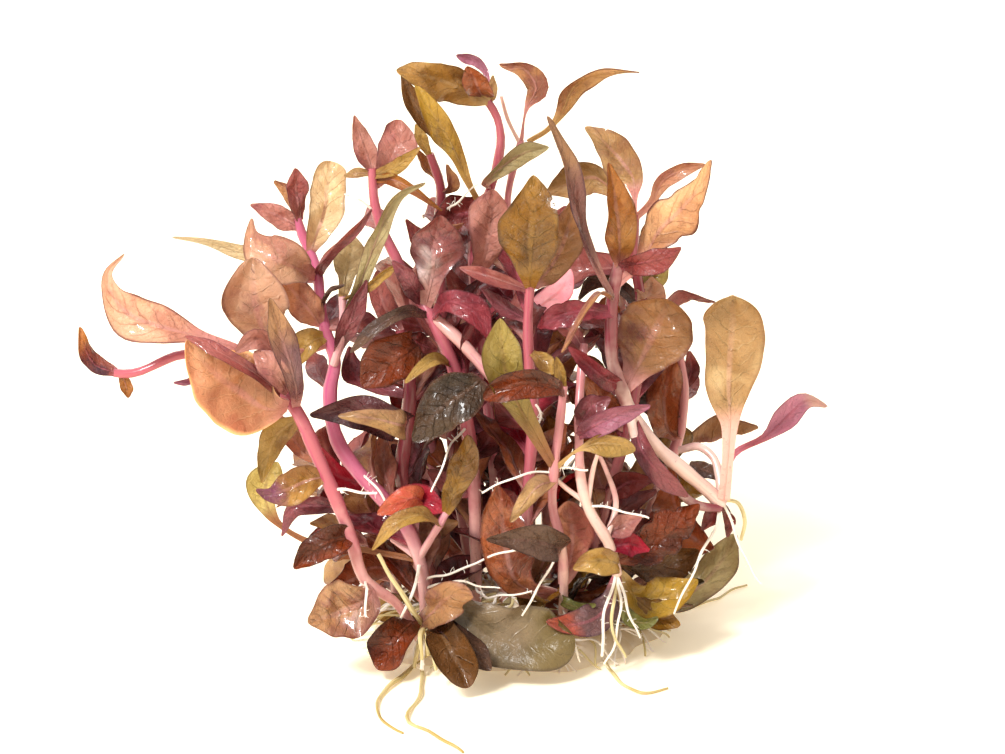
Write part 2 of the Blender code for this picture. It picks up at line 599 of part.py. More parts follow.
# Top: the tallest shoot
shoot(
    "shoot_top",
    STEM_PINK,
    [foot(-1.5, 0.2, 1.1)]
    + seen([
        (-2.8, 18.0, 0.5, 1.1),
        (-3.8, 28.0, 1.5, 1.1),
        (-4.7, 36.0, 2.0, 1.0),
        (-4.5, 40.0, 2.0, 1.0),
        (-3.0, 44.0, 1.5, 0.9),
        (-2.2, 47.0, 0.5, 0.9),
        (-1.9, 49.0, 0.0, 0.9),
        (-2.2, 51.0, 0.0, 0.8),
        (-3.7, 53.6, -0.5, 0.8),
    ]),
    blades=[
        (0, [(-3.6, 53.4, -0.4, 0.6), (-7.2, 53.0, 1.4, 1.2), (-10.2, 53.0, 3.0, 2.4),
             (-11.4, 55.0, 3.8, 0.3)]),
        (40, [(-3.7, 53.4, -0.4, 0.7), (-4.5, 55.0, 0.6, 1.9), (-4.0, 56.6, 0.8, 0.3)]),
        (30, [(-3.4, 53.4, -0.4, 0.5), (-3.1, 56.3, 1.2, 0.7), (-4.7, 57.2, 1.2, 0.9),
              (-6.3, 57.4, 1.2, 0.2)]),
        (0, [(-3.2, 52.8, -0.2, 0.6), (-2.8, 54.0, -0.4, 1.0), (-2.7, 55.5, -0.4, 0.2)]),
        (40, [(-3.1, 44.2, 1.4, 0.5), (-3.2, 45.0, -1.4, 0.7), (-2.0, 46.8, -2.6, 1.4),
              (0.3, 48.2, -2.6, 1.5),
              (2.8, 48.2, -2.6, 0.2)]),
        (0, [(-4.2, 32.0, 1.8, 0.7), (-6.0, 34.0, 0.6, 2.0), (-7.4, 36.4, 0, 0.3)]),
        (0, [(-4.6, 37.5, 2, 0.7), (-5.4, 38.8, 5, 2.4), (-5.6, 40.2, 8, 0.3)]),
        (0, [(-4.2, 30.4, 1.8, 0.7), (-2.8, 31.8, 5, 2.2), (-2.4, 33.2, 7.6, 0.3)]),
        (0, [(-2.6, 15.5, 0.4, 0.7), (-0.8, 16.8, -1.4, 2.6), (0.8, 17.4, -2.6, 0.3)]),
    ],
)
leaf("leaf_olive_top", OLIVE, "shoot_top", -10, [
    (-3.2, 53.0, -0.4, 0.9), (-5.4, 54.0, -2.2, 3.0), (-7.6, 54.8, -3.6, 4.2),
    (-9.8, 55.4, -4.8, 3.0), (-12.1, 55.8, -5.8, 0.3),
])
leaf("leaf_golden_top", GOLD, "shoot_top", 0, [
    (-3.8, 42.2, 1.4, 0.6), (-5.2, 44.9, -2.4, 0.7), (-6.4, 47.6, -4.2, 1.6), (-7.8, 50.2, -5.6, 2.6),
    (-8.9, 52.0, -6.4, 2.0), (-9.9, 53.9, -7.2, 0.3),
])
leaf("leaf_rose_middle", ROSE, "shoot_top", 0, [
    (-4.6, 35.6, 1.6, 0.9), (-3.4, 38.0, -1.6, 2.8), (-2.9, 40.6, -1.6, 4.4),
    (-2.8, 42.6, -1.4, 3.6), (-2.7, 44.2, -1.2, 0.4),
])

# Top: a thinner shoot left of it
shoot(
    "shoot_top_left",
    STEM_PINK,
    [foot(-4.4, 4.2, 1.1)]
    + seen([
        (-6.4, 15.0, 3.5, 1.1),
        (-7.2, 26.0, 4.5, 1.1),
        (-7.9, 36.0, 4.5, 1.1),
        (-8.0, 41.5, 4.0, 1.1),
        (-7.9, 44.0, 3.5, 1.0),
        (-9.0, 47.6, 3.0, 0.8),
    ]),
    blades=[
        (60, [(-7.9, 43.6, 3.6, 0.6), (-6.9, 44.2, 3.2, 1.2), (-7.4, 46.6, 3, 0.2)]),
        (40, [(-8.4, 45.2, 3.4, 0.6), (-9.6, 46.4, 4.2, 1.2), (-10.4, 48.2, 4.4, 0.2)]),
        (0, [(-9.0, 47.4, 3, 0.6), (-9.8, 49.0, 2.6, 1.3), (-10.4, 50.6, 2.4, 0.2)]),
        (0, [(-7.9, 37.0, 4.5, 0.7), (-9.8, 38.8, 4.0, 2.2), (-11.4, 41.0, 3.8, 0.3)]),
        (0, [(-7.5, 30.0, 4.5, 0.7), (-10.4, 30.4, 4.6, 2.6), (-13.2, 31.4, 4.8, 0.3)]),
        (0, [(-8.0, 40.4, 4.1, 0.7), (-8.6, 41.8, 7.4, 2.2), (-9.0, 43.2, 10, 0.3)]),
        (0, [(-7.4, 28.4, 4.5, 0.7), (-6.0, 30.0, 8, 2.4), (-5.4, 31.4, 10.8, 0.3)]),
    ],
)

# Top: the shoot right of the middle
shoot(
    "shoot_top_right",
    STEM_PINK,
    [foot(1.0, 3.6, 1.1)]
    + seen([
        (1.0, 16.0, 3.6, 1.0),
        (0.4, 28.0, 4.0, 0.9),
        (-0.8, 38.0, 3.6, 0.8),
        (-1.2, 43.5, 3.0, 0.7),
        (-0.7, 46.0, 3.0, 0.7),
        (0.1, 49.0, 3.0, 0.7),
    ]),
    twigs=[
        [(0.0, 48.6, 3.0, 0.4), (-1.2, 51.0, 2.4, 0.4), (-1.9, 53.4, 1.6, 0.3)],
    ],
    blades=[
        (0, [(0.1, 48.8, 3, 0.4), (0.7, 52.3, 3.6, 0.5), (1.6, 54.2, 4, 2.2), (0.4, 56.0, 4, 1.6),
             (-2.1, 56.3, 4, 0.2)]),
        (0, [(0.2, 31.0, 4, 0.6), (2.6, 33.4, 8, 2.0), (4.4, 35.0, 8.6, 2.2), (5.6, 36.4, 8.8, 0.3)]),
        (0, [(-0.6, 37.0, 3.6, 0.6), (1.4, 38.6, 4.2, 2.2), (3.4, 40.6, 4.4, 2.0),
             (4.6, 42.4, 4.4, 0.3)]),
        (0, [(-0.9, 40.0, 3.4, 0.7), (-1.4, 41.4, 6.4, 2.0), (-1.6, 42.6, 9, 0.3)]),
        (0, [(0.8, 22.0, 3.8, 0.7), (2.4, 23.4, 6, 2.4), (3.6, 24.8, 7.4, 0.3)]),
    ],
)
leaf("leaf_peach_top", PEACH, "shoot_top_right", 30, [
    (0.9, 48.9, 2.6, 0.5), (3.5, 50.8, -0.6, 0.6), (4.0, 53.2, -1.8, 1.2), (5.2, 55.0, -2.8, 1.7),
    (8.4, 55.9, -4.4, 1.6), (11.9, 56.5, -6.0, 0.3),
])

# Centre
shoot(
    "shoot_centre",
    STEM_PINK,
    [foot(0.4, -4.4, 1.2)]
    + seen([
        (0.8, 14.0, -6.5, 1.2),
        (1.3, 22.0, -7.2, 1.2),
        (0.9, 27.0, -8.0, 1.1),
        (0.8, 31.0, -8.6, 1.0),
        (1.0, 34.6, -9.0, 0.9),
    ]),
    blades=[
        (0, [(0.9, 34.0, -9, 0.7), (-2.0, 35.0, -9, 1.5), (-4.2, 35.7, -8.6, 1.2),
             (-6.1, 36.3, -8.2, 0.2)]),
        (0, [(0.8, 31.0, -8.6, 0.7), (-1.4, 32.2, -6.4, 1.6), (-3.8, 34.0, -5.4, 0.3)]),
        (0, [(0.9, 28.0, -8.2, 0.6), (2.6, 26.6, -9.6, 1.6), (3.4, 25.6, -10, 0.3)]),
        (0, [(1.2, 20.0, -7, 0.7), (-0.8, 21.2, -5.4, 2.4), (-2.6, 23.2, -4.6, 0.3)]),
        (0, [(1.1, 17.0, -6.8, 0.7), (3.0, 18.6, -5.0, 2.6), (4.6, 20.6, -4.0, 0.3)]),
        (0, [(0.8, 12.0, -6.2, 0.7), (-1.0, 12.8, -4.6, 2.4), (-2.8, 14.4, -3.4, 0.3)]),
    ],
    roots=[
        [(1.3, 22.8, -7.2, 0.3), (2.2, 21.2, -9.6, 0.3), (1.4, 20.0, -10.4, 0.25)],
    ],
)
leaf("leaf_olive_centre", OLIVE, "shoot_centre", 0, [
    (1.0, 34.4, -9.0, 0.9), (1.1, 36.4, -11.2, 2.8), (1.3, 39.5, -11.8, 5.3),
    (1.5, 42.0, -11.8, 4.4), (1.5, 44.0, -11.4, 2.0), (1.5, 45.3, -11.2, 0.3),
])
leaf("leaf_rose_centre", ROSE, "shoot_centre", 0, [
    (1.4, 34.4, -8.8, 0.9), (3.0, 36.6, -7.4, 3.2), (4.0, 39.0, -6.8, 3.6),
    (4.5, 41.3, -6.4, 2.0), (4.6, 43.2, -6.2, 0.3),
])

# Front centre
shoot(
    "shoot_front_centre",
    STEM_PINK,
    [foot(4.2, -6.2, 1.0)]
    + seen([
        (4.0, 9.5, -10.5, 0.9),
        (3.3, 12.0, -11.5, 0.9),
        (3.4, 16.2, -12.0, 1.0),
        (3.9, 20.0, -12.0, 0.9),
        (4.4, 24.4, -11.4, 0.8),
    ]),
    blades=[
        (20, [(3.5, 16.2, -12, 0.5), (6.5, 18.3, -13.6, 0.7), (8.4, 18.6, -13.8, 2.4),
              (10.2, 18.4, -13.6, 2.2),
              (11.6, 17.8, -13.4, 0.3)]),
        (0, [(3.4, 15.0, -12, 0.7), (1.6, 14.2, -14, 1.8), (0.2, 12.4, -14.6, 1.6),
             (-1.0, 10.8, -14.8, 0.3)]),
        (30, [(4.3, 23.6, -11.6, 0.6), (3.4, 24.7, -15.4, 1.3), (0.0, 24.8, -16.4, 1.6),
              (-3.5, 23.5, -16.2, 0.3)]),
        (0, [(4.4, 24.2, -11.4, 0.5), (4.0, 25.8, -12.2, 1.3), (3.6, 27.4, -12.4, 0.2)]),
    ],
    roots=[
        [(3.4, 15.8, -12, 0.3), (0.0, 15.5, -13.2, 0.3), (-3.8, 13.7, -13.6, 0.25)],
        [(3.4, 16.2, -12, 0.3), (6.8, 16.0, -12.6, 0.25)],
        [(4.1, 8.4, -9.8, 0.3), (1.6, 3.8, -12.6, 0.3), (0.2, 1.4, -12.0, 0.25)],
    ],
)
leaf("leaf_yellow_olive", OCHRE, "shoot_front_centre", 0, [
    (3.2, 16.6, -12.2, 0.8), (1.4, 19.8, -13.8, 1.5), (-0.3, 22.8, -14.4, 2.2),
    (-1.4, 25.8, -14.8, 3.4), (-1.8, 28.2, -14.8, 4.0), (-2.0, 31.0, -14.6, 0.4),
])
leaf("leaf_dark_front", DARK, "shoot_front_centre", 0, [
    (4.0, 8.0, -9.6, 0.8), (3.2, 8.4, -14.2, 2.6), (1.4, 8.9, -15.4, 3.4),
    (-0.9, 9.0, -16.4, 2.2), (-3.2, 9.1, -17.4, 0.3),
])
leaf("leaf_salmon_veined", CRIMSON, "shoot_front_centre", 0, [
    (4.3, 4.6, -8.0, 0.9), (5.2, 8.0, -8.0, 3.4), (5.2, 10.0, -8.2, 4.6),
    (5.0, 11.8, -8.2, 3.0), (4.8, 13.2, -8.2, 0.4),
])
leaf("leaf_orange_upright", BRONZE, "shoot_front_centre", 0, [
    (3.8, 3.6, -7.2, 0.9), (-0.4, 4.8, -10.0, 3.2), (-1.4, 8.0, -10.6, 5.2),
    (-1.8, 11.4, -10.8, 4.0), (-2.2, 14.2, -10.8, 0.4),
])
leaf("leaf_mauve_floor", MAUVE, "shoot_upper_left", 0, [
    (-4.5, 4.6, -2.6, 0.8), (-6.2, 3.0, -11.6, 1.6), (-4.4, 0.6, -13.0, 4.6), (-1.6, -1.2, -13.4, 6.2),
    (1.6, -1.8, -13.4, 5.8), (4.0, -1.6, -13.2, 3.8), (5.6, -1.0, -13.0, 0.5),
])

# Front right
shoot(
    "shoot_front_right",
    STEM_PINK,
    seen([
        (9.7, 5.6, -9.4, 1.0),
        (9.0, 8.3, -10.4, 1.1),
        (6.6, 12.8, -11.0, 1.1),
        (6.1, 15.0, -11.0, 1.0),
        (5.9, 19.0, -10.0, 0.9),
        (6.0, 24.0, -7.6, 0.9),
        (6.4, 28.6, -5.4, 0.8),
    ]),
    twigs=[
        [(6.8, 13.0, -11, 0.6), (7.6, 16.4, -9.6, 0.5)],
        [(6.4, 12.9, -11, 0.6), (4.4, 14.4, -10.2, 0.5)],
        [(8.6, 9.2, -10.6, 0.7), (9.6, 12.6, -9.0, 0.6), (7.8, 16.0, -8.4, 0.5)],
    ],
    blades=[
        (20, [(5.9, 19.4, -10, 0.7), (7.8, 20.6, -13.6, 2.0), (10.3, 21.8, -14.2, 2.2),
              (13.0, 22.7, -14.2, 0.3)]),
        (0, [(5.9, 20.4, -10, 0.7), (7.4, 22.4, -10.6, 2.4), (9.0, 23.2, -10.8, 0.4)]),
        (0, [(6.4, 28.0, -5.4, 0.6), (5.2, 29.8, -5.0, 1.8), (3.4, 30.8, -4.8, 0.3)]),
        (0, [(9.5, 6.4, -9.6, 0.7), (9.2, 6.8, -13.8, 2.2), (8.0, 7.0, -14.4, 2.8),
             (5.3, 6.1, -14.4, 0.3)]),
        (0, [(9.0, 8.2, -10.4, 0.7), (10.8, 8.6, -9.8, 2.4), (12.9, 8.0, -9.4, 0.3)]),
        (0, [(8.4, 9.6, -10.4, 0.7), (10.2, 10.4, -9.6, 2.2), (12.2, 11.2, -9.2, 0.3)]),
    ],
    roots=[
        [(9.7, 5.7, -9.4, 0.4), (10.0, 2.0, -11.6, 0.35), (9.3, -1.8, -12.0, 0.3),
         (8.4, -3.4, -12.2, 0.25)],
        [(9.7, 5.7, -9.4, 0.4), (10.7, 2.4, -11.4, 0.35), (12.0, -0.8, -11.6, 0.25)],
        [(9.6, 5.8, -9.4, 0.4), (8.4, 1.0, -12.6, 0.4), (8.2, -2.6, -12.2, 0.4)],
        [(6.9, 12.4, -11, 0.3), (10.0, 12.0, -12.6, 0.3), (12.9, 11.2, -12.8, 0.25)],
    ],
    floor_roots=[
        [(8.2, -2.6, 0.4), (9.5, -4.6, 0.45), (10.5, -5.5, 0.45), (12.0, -6.3, 0.4), (14.8, -5.8, 0.3)],
    ],
)
leaf("leaf_plum_tip", MAUVE, "shoot_front_right", 0, [
    (9.7, 6.2, -9.0, 0.8), (9.2, 3.6, -9.0, 2.6), (6.6, 2.4, -10.2, 3.6),
    (4.4, 1.6, -10.6, 2.2), (2.8, 1.0, -10.8, 0.3),
])
leaf("leaf_ragged_brown", MAROON, "shoot_front_right", 0, [
    (9.5, 7.0, -9.6, 0.8), (12.4, 8.0, -8.0, 3.0), (14.6, 9.6, -8.0, 4.0),
    (16.5, 11.0, -7.8, 2.8), (18.2, 12.5, -7.6, 0.3),
])
leaf("leaf_golden_right", GOLD, "shoot_front_right", 0, [
    (9.9, 5.8, -9.0, 0.8), (12.2, 3.0, -7.6, 3.2), (14.4, 3.1, -7.6, 4.0),
    (16.3, 4.0, -7.2, 2.8), (17.8, 5.0, -7.0, 0.4),
])

# Right: the shoot that bends out to its own node and roots
shoot(
    "shoot_right",
    STEM_PINK,
    seen([
        (20.2, 12.6, -3.0, 1.3),
        (19.4, 13.4, -3.2, 1.4),
        (16.5, 15.9, -4.2, 1.4),
        (13.2, 18.8, -5.2, 1.4),
        (11.2, 21.6, -5.8, 1.4),
        (10.0, 24.5, -6.2, 1.4),
        (9.2, 27.0, -6.4, 1.3),
        (9.1, 29.0, -6.4, 1.3),
        (9.3, 33.5, -6.4, 1.3),
        (9.9, 36.6, -6.6, 1.2),
    ]),
    twigs=[
        [(10.9, 22.4, -6.0, 0.9), (11.6, 19.0, -7.6, 0.9), (14.5, 15.4, -6.4, 0.9),
         (18.0, 12.4, -4.6, 0.9),
         (20.0, 12.2, -3.4, 0.9)],
        [(20.1, 12.8, -3.0, 0.9), (19.9, 15.5, -1.4, 0.9), (19.3, 17.3, -0.4, 0.8),
         (18.0, 18.3, 0.6, 0.8),
         (16.0, 18.0, 2.0, 0.8)],
    ],
    blades=[
        (0, [(20.2, 13.0, -3, 0.7), (21.4, 17.6, -0.8, 0.7), (24.5, 19.3, 0, 0.8), (26.6, 21.2, 1, 2.2),
             (28.6, 22.9, 2, 1.8), (30.9, 22.4, 3, 0.3)]),
        (30, [(9.9, 36.3, -6.6, 0.7), (12.0, 36.6, -10.6, 1.6), (14.2, 37.5, -11.4, 1.4),
              (16.1, 38.3, -11.4, 0.2)]),
        (50, [(9.3, 33.2, -6.4, 0.6), (7.6, 33.6, -10.4, 1.0), (6.0, 31.0, -12.2, 1.2),
              (4.5, 27.6, -12.8, 0.2)]),
        (0, [(9.9, 24.6, -6.2, 0.7), (8.4, 25.2, -9.4, 1.8), (6.5, 26.8, -10.4, 1.8),
             (4.7, 28.4, -10.6, 0.3)]),
        (0, [(11.3, 21.0, -5.8, 0.8), (12.4, 17.6, -9.6, 2.0), (14.4, 15.2, -9.8, 2.0),
             (17.0, 13.2, -9.4, 0.3)]),
        (0, [(20.0, 12.6, -3, 0.6), (19.1, 11.4, -1.8, 1.6), (18.2, 10.0, -1.4, 0.3)]),
        (0, [(20.2, 12.6, -3, 0.6), (20.9, 11.0, -1.6, 1.2), (20.8, 9.2, -1.4, 0.2)]),
        (0, [(19.8, 15.2, -1.6, 0.6), (18.6, 16.0, -0.4, 1.8), (17.0, 16.6, 0.2, 0.4)]),
    ],
    roots=[
        [(20.0, 12.4, -3, 0.45), (19.6, 10.5, -4.6, 0.4), (18.4, 8.0, -6.6, 0.35), (17.0, 5.2, -9.6, 0.3),
         (15.4, 1.6, -11.0, 0.25)],
        [(20.4, 12.5, -3, 0.4), (21.5, 10.0, -3.6, 0.35), (22.3, 7.5, -4.0, 0.3),
         (24.1, 4.6, -4.2, 0.25)],
    ],
)
leaf("leaf_spoon", GOLD, "shoot_right", 0, [
    (20.4, 13.2, -3.6, 1.2), (20.9, 18.8, -4.4, 1.4), (21.0, 22.2, -4.4, 3.4),
    (20.9, 26.0, -5.2, 5.1), (21.2, 30.0, -6.6, 6.0), (21.3, 32.5, -7.8, 4.2), (21.3, 33.8, -8.6, 0.8),
])
leaf("leaf_bronze_right", BRONZE, "shoot_right", 0, [
    (10.5, 24.0, -5.6, 1.1), (11.9, 26.6, -4.0, 3.2), (13.2, 29.2, -3.6, 6.2),
    (14.0, 31.3, -3.4, 5.0), (14.6, 33.2, -3.2, 0.6),
])
leaf("leaf_maroon_wide", MAROON, "shoot_right", 0, [
    (9.1, 31.6, -6.6, 0.9), (6.6, 32.0, -8.4, 2.2), (4.3, 31.5, -8.8, 3.0),
    (2.3, 30.6, -9.0, 1.4), (1.6, 30.2, -9.8, 0.3),
])
leaf("leaf_long_folded", PLUM, "shoot_right", 50, [
    (9.3, 33.2, -7.0, 0.8), (7.4, 36.8, -9.2, 0.9), (6.3, 39.5, -9.8, 1.6),
    (5.3, 43.5, -10.6, 2.1), (4.4, 47.5, -11.0, 1.6), (3.7, 51.2, -11.4, 0.3),
])
leaf("leaf_amber_upright", GOLD, "shoot_right", 20, [
    (9.9, 36.6, -6.8, 0.9), (9.9, 38.6, -8.4, 2.4), (9.8, 41.0, -9.4, 3.5),
    (9.4, 44.0, -10.0, 2.4), (9.0, 46.6, -10.4, 0.3),
])
leaf("leaf_peach_veined", PEACH, "shoot_right", -14, [
    (9.7, 34.6, -6.4, 0.9), (12.2, 36.9, -7.4, 1.1), (13.4, 39.2, -8.4, 3.4), (15.4, 41.4, -9.4, 4.8),
    (17.6, 43.9, -10.2, 2.8), (19.1, 47.0, -11.0, 0.3),
])

# Upper right, behind
shoot(
    "shoot_upper_right",
    STEM_PINK,
    [foot(5.6, 1.6, 1.1)]
    + seen([
        (9.0, 14.0, 1.0, 1.1),
        (11.6, 24.0, 1.0, 1.1),
        (12.2, 32.0, 1.0, 1.1),
        (11.4, 38.0, 0.6, 1.0),
        (11.6, 41.6, 0.4, 0.8),
    ]),
    blades=[
        (0, [(11.6, 41.2, 0.4, 0.6), (13.2, 42.8, -1, 0.8), (14.4, 45.0, -2, 1.6),
             (16.4, 46.0, -2.4, 1.5),
             (18.5, 46.5, -2.6, 0.2)]),
        (0, [(12.0, 33.6, 1, 0.7), (13.4, 35.4, 2.6, 2.4), (14.8, 37.0, 3, 0.3)]),
        (0, [(12.2, 32.0, 1, 0.6), (10.0, 34.4, 4, 1.6), (7.6, 34.8, 5, 1.6), (6.0, 33.0, 5.4, 0.3)]),
        (0, [(10.6, 20.0, 1, 0.7), (8.2, 22.6, 0.4, 2.6), (6.4, 25.4, 0, 0.4)]),
        (0, [(8.8, 13.4, 1, 0.7), (11.0, 14.8, -0.6, 2.8), (13.4, 15.0, -1.4, 0.4)]),
        (0, [(11.7, 36.5, 0.7, 0.7), (12.4, 38.2, 4, 2.4), (12.6, 39.6, 7, 0.3)]),
        (0, [(12.1, 30.0, 1, 0.7), (10.8, 30.8, 4.6, 2.4), (10.2, 31.4, 7.4, 0.3)]),
    ],
)
leaf("leaf_bronze_upper_right", TAN, "shoot_upper_right", 0, [
    (11.5, 40.6, 0.4, 0.7), (11.4, 44.8, 1.6, 1.4), (10.8, 46.4, 2.4, 3.2),
    (9.4, 48.0, 3.4, 3.4), (7.8, 49.2, 4.2, 1.8), (6.6, 50.0, 4.8, 0.3),
])
leaf("leaf_tan_behind", TAN, "shoot_upper_right", 0, [
    (11.2, 40.0, 0.8, 0.7), (9.2, 44.0, 5.4, 1.6), (7.4, 45.2, 6.8, 3.0),
    (4.8, 44.6, 8.2, 2.6), (2.4, 43.6, 9.2, 0.3),
])

# Right, behind
shoot(
    "shoot_right_behind",
    STEM_PINK,
    [foot(9.4, 3.6, 1.1)]
    + seen([
        (13.4, 13.0, 6.0, 1.1),
        (16.0, 20.0, 7.0, 1.1),
        (16.4, 24.0, 7.0, 1.0),
        (15.8, 28.5, 7.0, 0.8),
    ]),
    blades=[
        (0, [(15.8, 19.2, 6.8, 0.7), (14.8, 20.0, 4.4, 2.6), (14.4, 22.6, 3.8, 3.2),
             (14.8, 25.4, 3.8, 2.8),
             (15.1, 28.2, 4, 0.3)]),
        (0, [(16.4, 24.0, 7, 0.6), (17.1, 25.8, 7.6, 1.6), (16.9, 27.9, 7.6, 0.3)]),
        (0, [(16.2, 21.6, 7, 0.7), (13.2, 22.6, 6.4, 2.2), (11.4, 24.6, 6.2, 2.2),
             (11.0, 26.4, 6.2, 0.3)]),
        (0, [(15.9, 28.2, 7, 0.6), (14.2, 29.6, 7.6, 2.2), (12.6, 31.4, 8, 0.3)]),
        (0, [(16.4, 23.0, 7, 0.7), (17.0, 24.4, 10.4, 2.2), (17.2, 26.0, 13, 0.3)]),
    ],
)
leaf("leaf_olive_right", OLIVE, "shoot_right_behind", 0, [
    (9.8, 5.0, 3.6, 0.8), (15.4, 2.8, 2.6, 2.4), (18.0, 4.4, 2.6, 3.6),
    (20.2, 7.0, 3.0, 3.2), (21.6, 9.6, 3.2, 0.4),
])

# Lower left, behind
leaf("leaf_ochre_left", OCHRE, "shoot_left", 0, [
    (-10.0, 7.0, -5.8, 0.6), (-16.5, 8.2, -4.0, 0.6), (-21.5, 9.0, -4.0, 0.6), (-24.6, 11.2, -4.0, 0.9),
    (-25.5, 13.2, -4.0, 2.8), (-25.3, 15.0, -4.0, 3.8), (-24.4, 16.4, -4.0, 0.6),
])


def back_leaf(name, start, level, rise):
    """One leaf of a pair: it leaves the stem steeply and droops towards the level at its tip."""
    out = level * math.cos(BACK_LEAF_RISE) + rise * math.sin(BACK_LEAF_RISE)
    droop = level * math.cos(BACK_LEAF_RISE / 2) + rise * math.sin(BACK_LEAF_RISE / 2)
    middle = start + out * BACK_LEAF_LENGTH / 2
    route = [
        (start, PETIOLE_WIDTH),
        (start + out * BACK_LEAF_LENGTH * BACK_LEAF_SHOULDER, BACK_LEAF_WIDTH / 2),
        (middle, BACK_LEAF_WIDTH),
        (middle + droop * BACK_LEAF_LENGTH / 2, TIP_WIDTH),
    ]
    return blade(name, route, 0, SMALL_LEAF_THICKNESS, rise)


def back_shoot(name, foot_place, head_place, first_azimuth, colour):
    """A shoot behind the middle: a curved stem with crossed pairs of leaves at even places."""
    start, width = foot(*foot_place, BACK_STEM_WIDTH)
    head = Vector(head_place)
    middle = (start + head) / 2
    bend = Vector((start.x, start.y, middle.z)).lerp(middle, BACK_STEM_LEAN)
    stem = [(start, width), (bend, width), (bend.lerp(head, 0.5), width * 0.9), (head, width * 0.8)]
    trunk = tube(name, stem, STEM_SIDES)
    limbs = []
    rise = (head - bend).normalized()
    for pair, share in enumerate(BACK_PAIR_PLACES):
        joint = start.lerp(bend, share * 2) if share < 0.5 else bend.lerp(head, share * 2 - 1)
        for half in range(2):
            azimuth = math.radians(first_azimuth + 90 * pair + 180 * half)
            level = square_to(Vector((math.cos(azimuth), math.sin(azimuth), 0)), rise)
            joint_place = joint + rise * BACK_PAIR_STEP * half
            limbs.append(back_leaf(f"{name}_leaf_{pair}_{half}", joint_place, level, rise))
    fuse(trunk, limbs)
    skin(trunk, colour, STEM_ROUGHNESS)


# Behind the middle: foot as x and y, head as x, y and z, and the azimuth of the lowest pair
back_shoot("shoot_back_1", (-12.4, 2.0), (-18.5, 5.0, 15.0), 30, BRONZE)
back_shoot("shoot_back_2", (-8.2, 6.2), (-11.5, 16.5, 28.5), 0, ROSE)
back_shoot("shoot_back_3", (-4.2, 7.4), (-4.0, 21.0, 21.0), 0, TAN)
back_shoot("shoot_back_4", (-1.0, 6.4), (-2.5, 12.5, 33.0), 35, MAROON)
back_shoot("shoot_back_5", (2.6, 7.4), (5.0, 20.0, 24.5), 80, BRONZE)
back_shoot("shoot_back_6", (6.4, 5.8), (11.5, 16.0, 28.0), 90, ROSE)
back_shoot("shoot_back_7", (10.0, 6.6), (16.0, 15.0, 14.0), 60, OLIVE)
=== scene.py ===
# %% [markdown]
# # A clump of scarlet temple plantlets
# The real thing is some twenty small water plants that grew up together in a culture cup. Each is a pink
# stem with pairs of soft red, bronze and olive leaves, and all their white roots are matted into one foot.
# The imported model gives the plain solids. This lesson loads them first, because every fine leaf, stem and
# root is laid on the same lines as the solid that it stands for.

# %% Load the plain solids
import json
import math
import random
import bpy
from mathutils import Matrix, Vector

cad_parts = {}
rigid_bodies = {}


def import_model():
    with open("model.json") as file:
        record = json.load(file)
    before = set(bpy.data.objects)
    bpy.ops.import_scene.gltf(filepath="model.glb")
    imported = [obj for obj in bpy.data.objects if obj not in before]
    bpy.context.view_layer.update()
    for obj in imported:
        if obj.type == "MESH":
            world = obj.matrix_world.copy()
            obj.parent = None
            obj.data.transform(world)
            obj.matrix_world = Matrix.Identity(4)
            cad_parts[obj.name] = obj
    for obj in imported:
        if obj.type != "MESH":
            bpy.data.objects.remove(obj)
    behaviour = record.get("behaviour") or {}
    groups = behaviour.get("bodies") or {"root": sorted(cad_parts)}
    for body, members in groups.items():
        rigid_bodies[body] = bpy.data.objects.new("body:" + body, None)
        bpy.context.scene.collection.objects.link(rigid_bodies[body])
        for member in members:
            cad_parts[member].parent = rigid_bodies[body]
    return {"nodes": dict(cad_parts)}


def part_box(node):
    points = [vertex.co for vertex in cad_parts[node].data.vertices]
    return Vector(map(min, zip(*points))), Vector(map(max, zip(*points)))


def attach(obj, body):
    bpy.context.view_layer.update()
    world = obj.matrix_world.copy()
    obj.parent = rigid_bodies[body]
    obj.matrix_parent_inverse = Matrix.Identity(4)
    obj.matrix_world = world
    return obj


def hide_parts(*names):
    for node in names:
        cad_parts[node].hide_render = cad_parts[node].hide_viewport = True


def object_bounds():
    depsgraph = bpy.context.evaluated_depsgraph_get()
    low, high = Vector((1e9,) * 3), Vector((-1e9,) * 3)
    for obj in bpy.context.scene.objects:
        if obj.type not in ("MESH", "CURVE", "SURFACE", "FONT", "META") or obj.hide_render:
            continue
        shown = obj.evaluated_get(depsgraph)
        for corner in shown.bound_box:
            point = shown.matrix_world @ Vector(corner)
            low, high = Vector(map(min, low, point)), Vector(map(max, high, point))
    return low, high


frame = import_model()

from types import SimpleNamespace

import bpy
import numpy as np
from mathutils import Vector
from mathutils.bvhtree import BVHTree

cad_box = [list(corner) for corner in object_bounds()]
print("solids:", len(frame["nodes"]), "box in mm:", [[round(v * 1000, 1) for v in c] for c in cad_box])

# %% [markdown]
# ## The plane that the clump is laid out in
# A plant like this has no straight edge to measure from. So its front is laid out as a botanist would draw
# it: every station is a place across and up in a leaning picture plane, a depth behind the middle of the
# clump, and the width of the leaf or stem there, all in millimetres. The same rule turns a station into a
# point in space for the solids and for the fine meshes, so the two agree.

# %% From a drawn station to a point in space
MM = 0.001
VIEW_TILT = math.radians(20)
VIEW_REACH = 500
VIEW_MIDDLE = (-1.75, 25.3)
SINE, COSINE = math.sin(VIEW_TILT), math.cos(VIEW_TILT)
EYE = np.array((
    VIEW_MIDDLE[0],
    VIEW_MIDDLE[1] * SINE - VIEW_REACH * COSINE,
    VIEW_MIDDLE[1] * COSINE + VIEW_REACH * SINE,
))


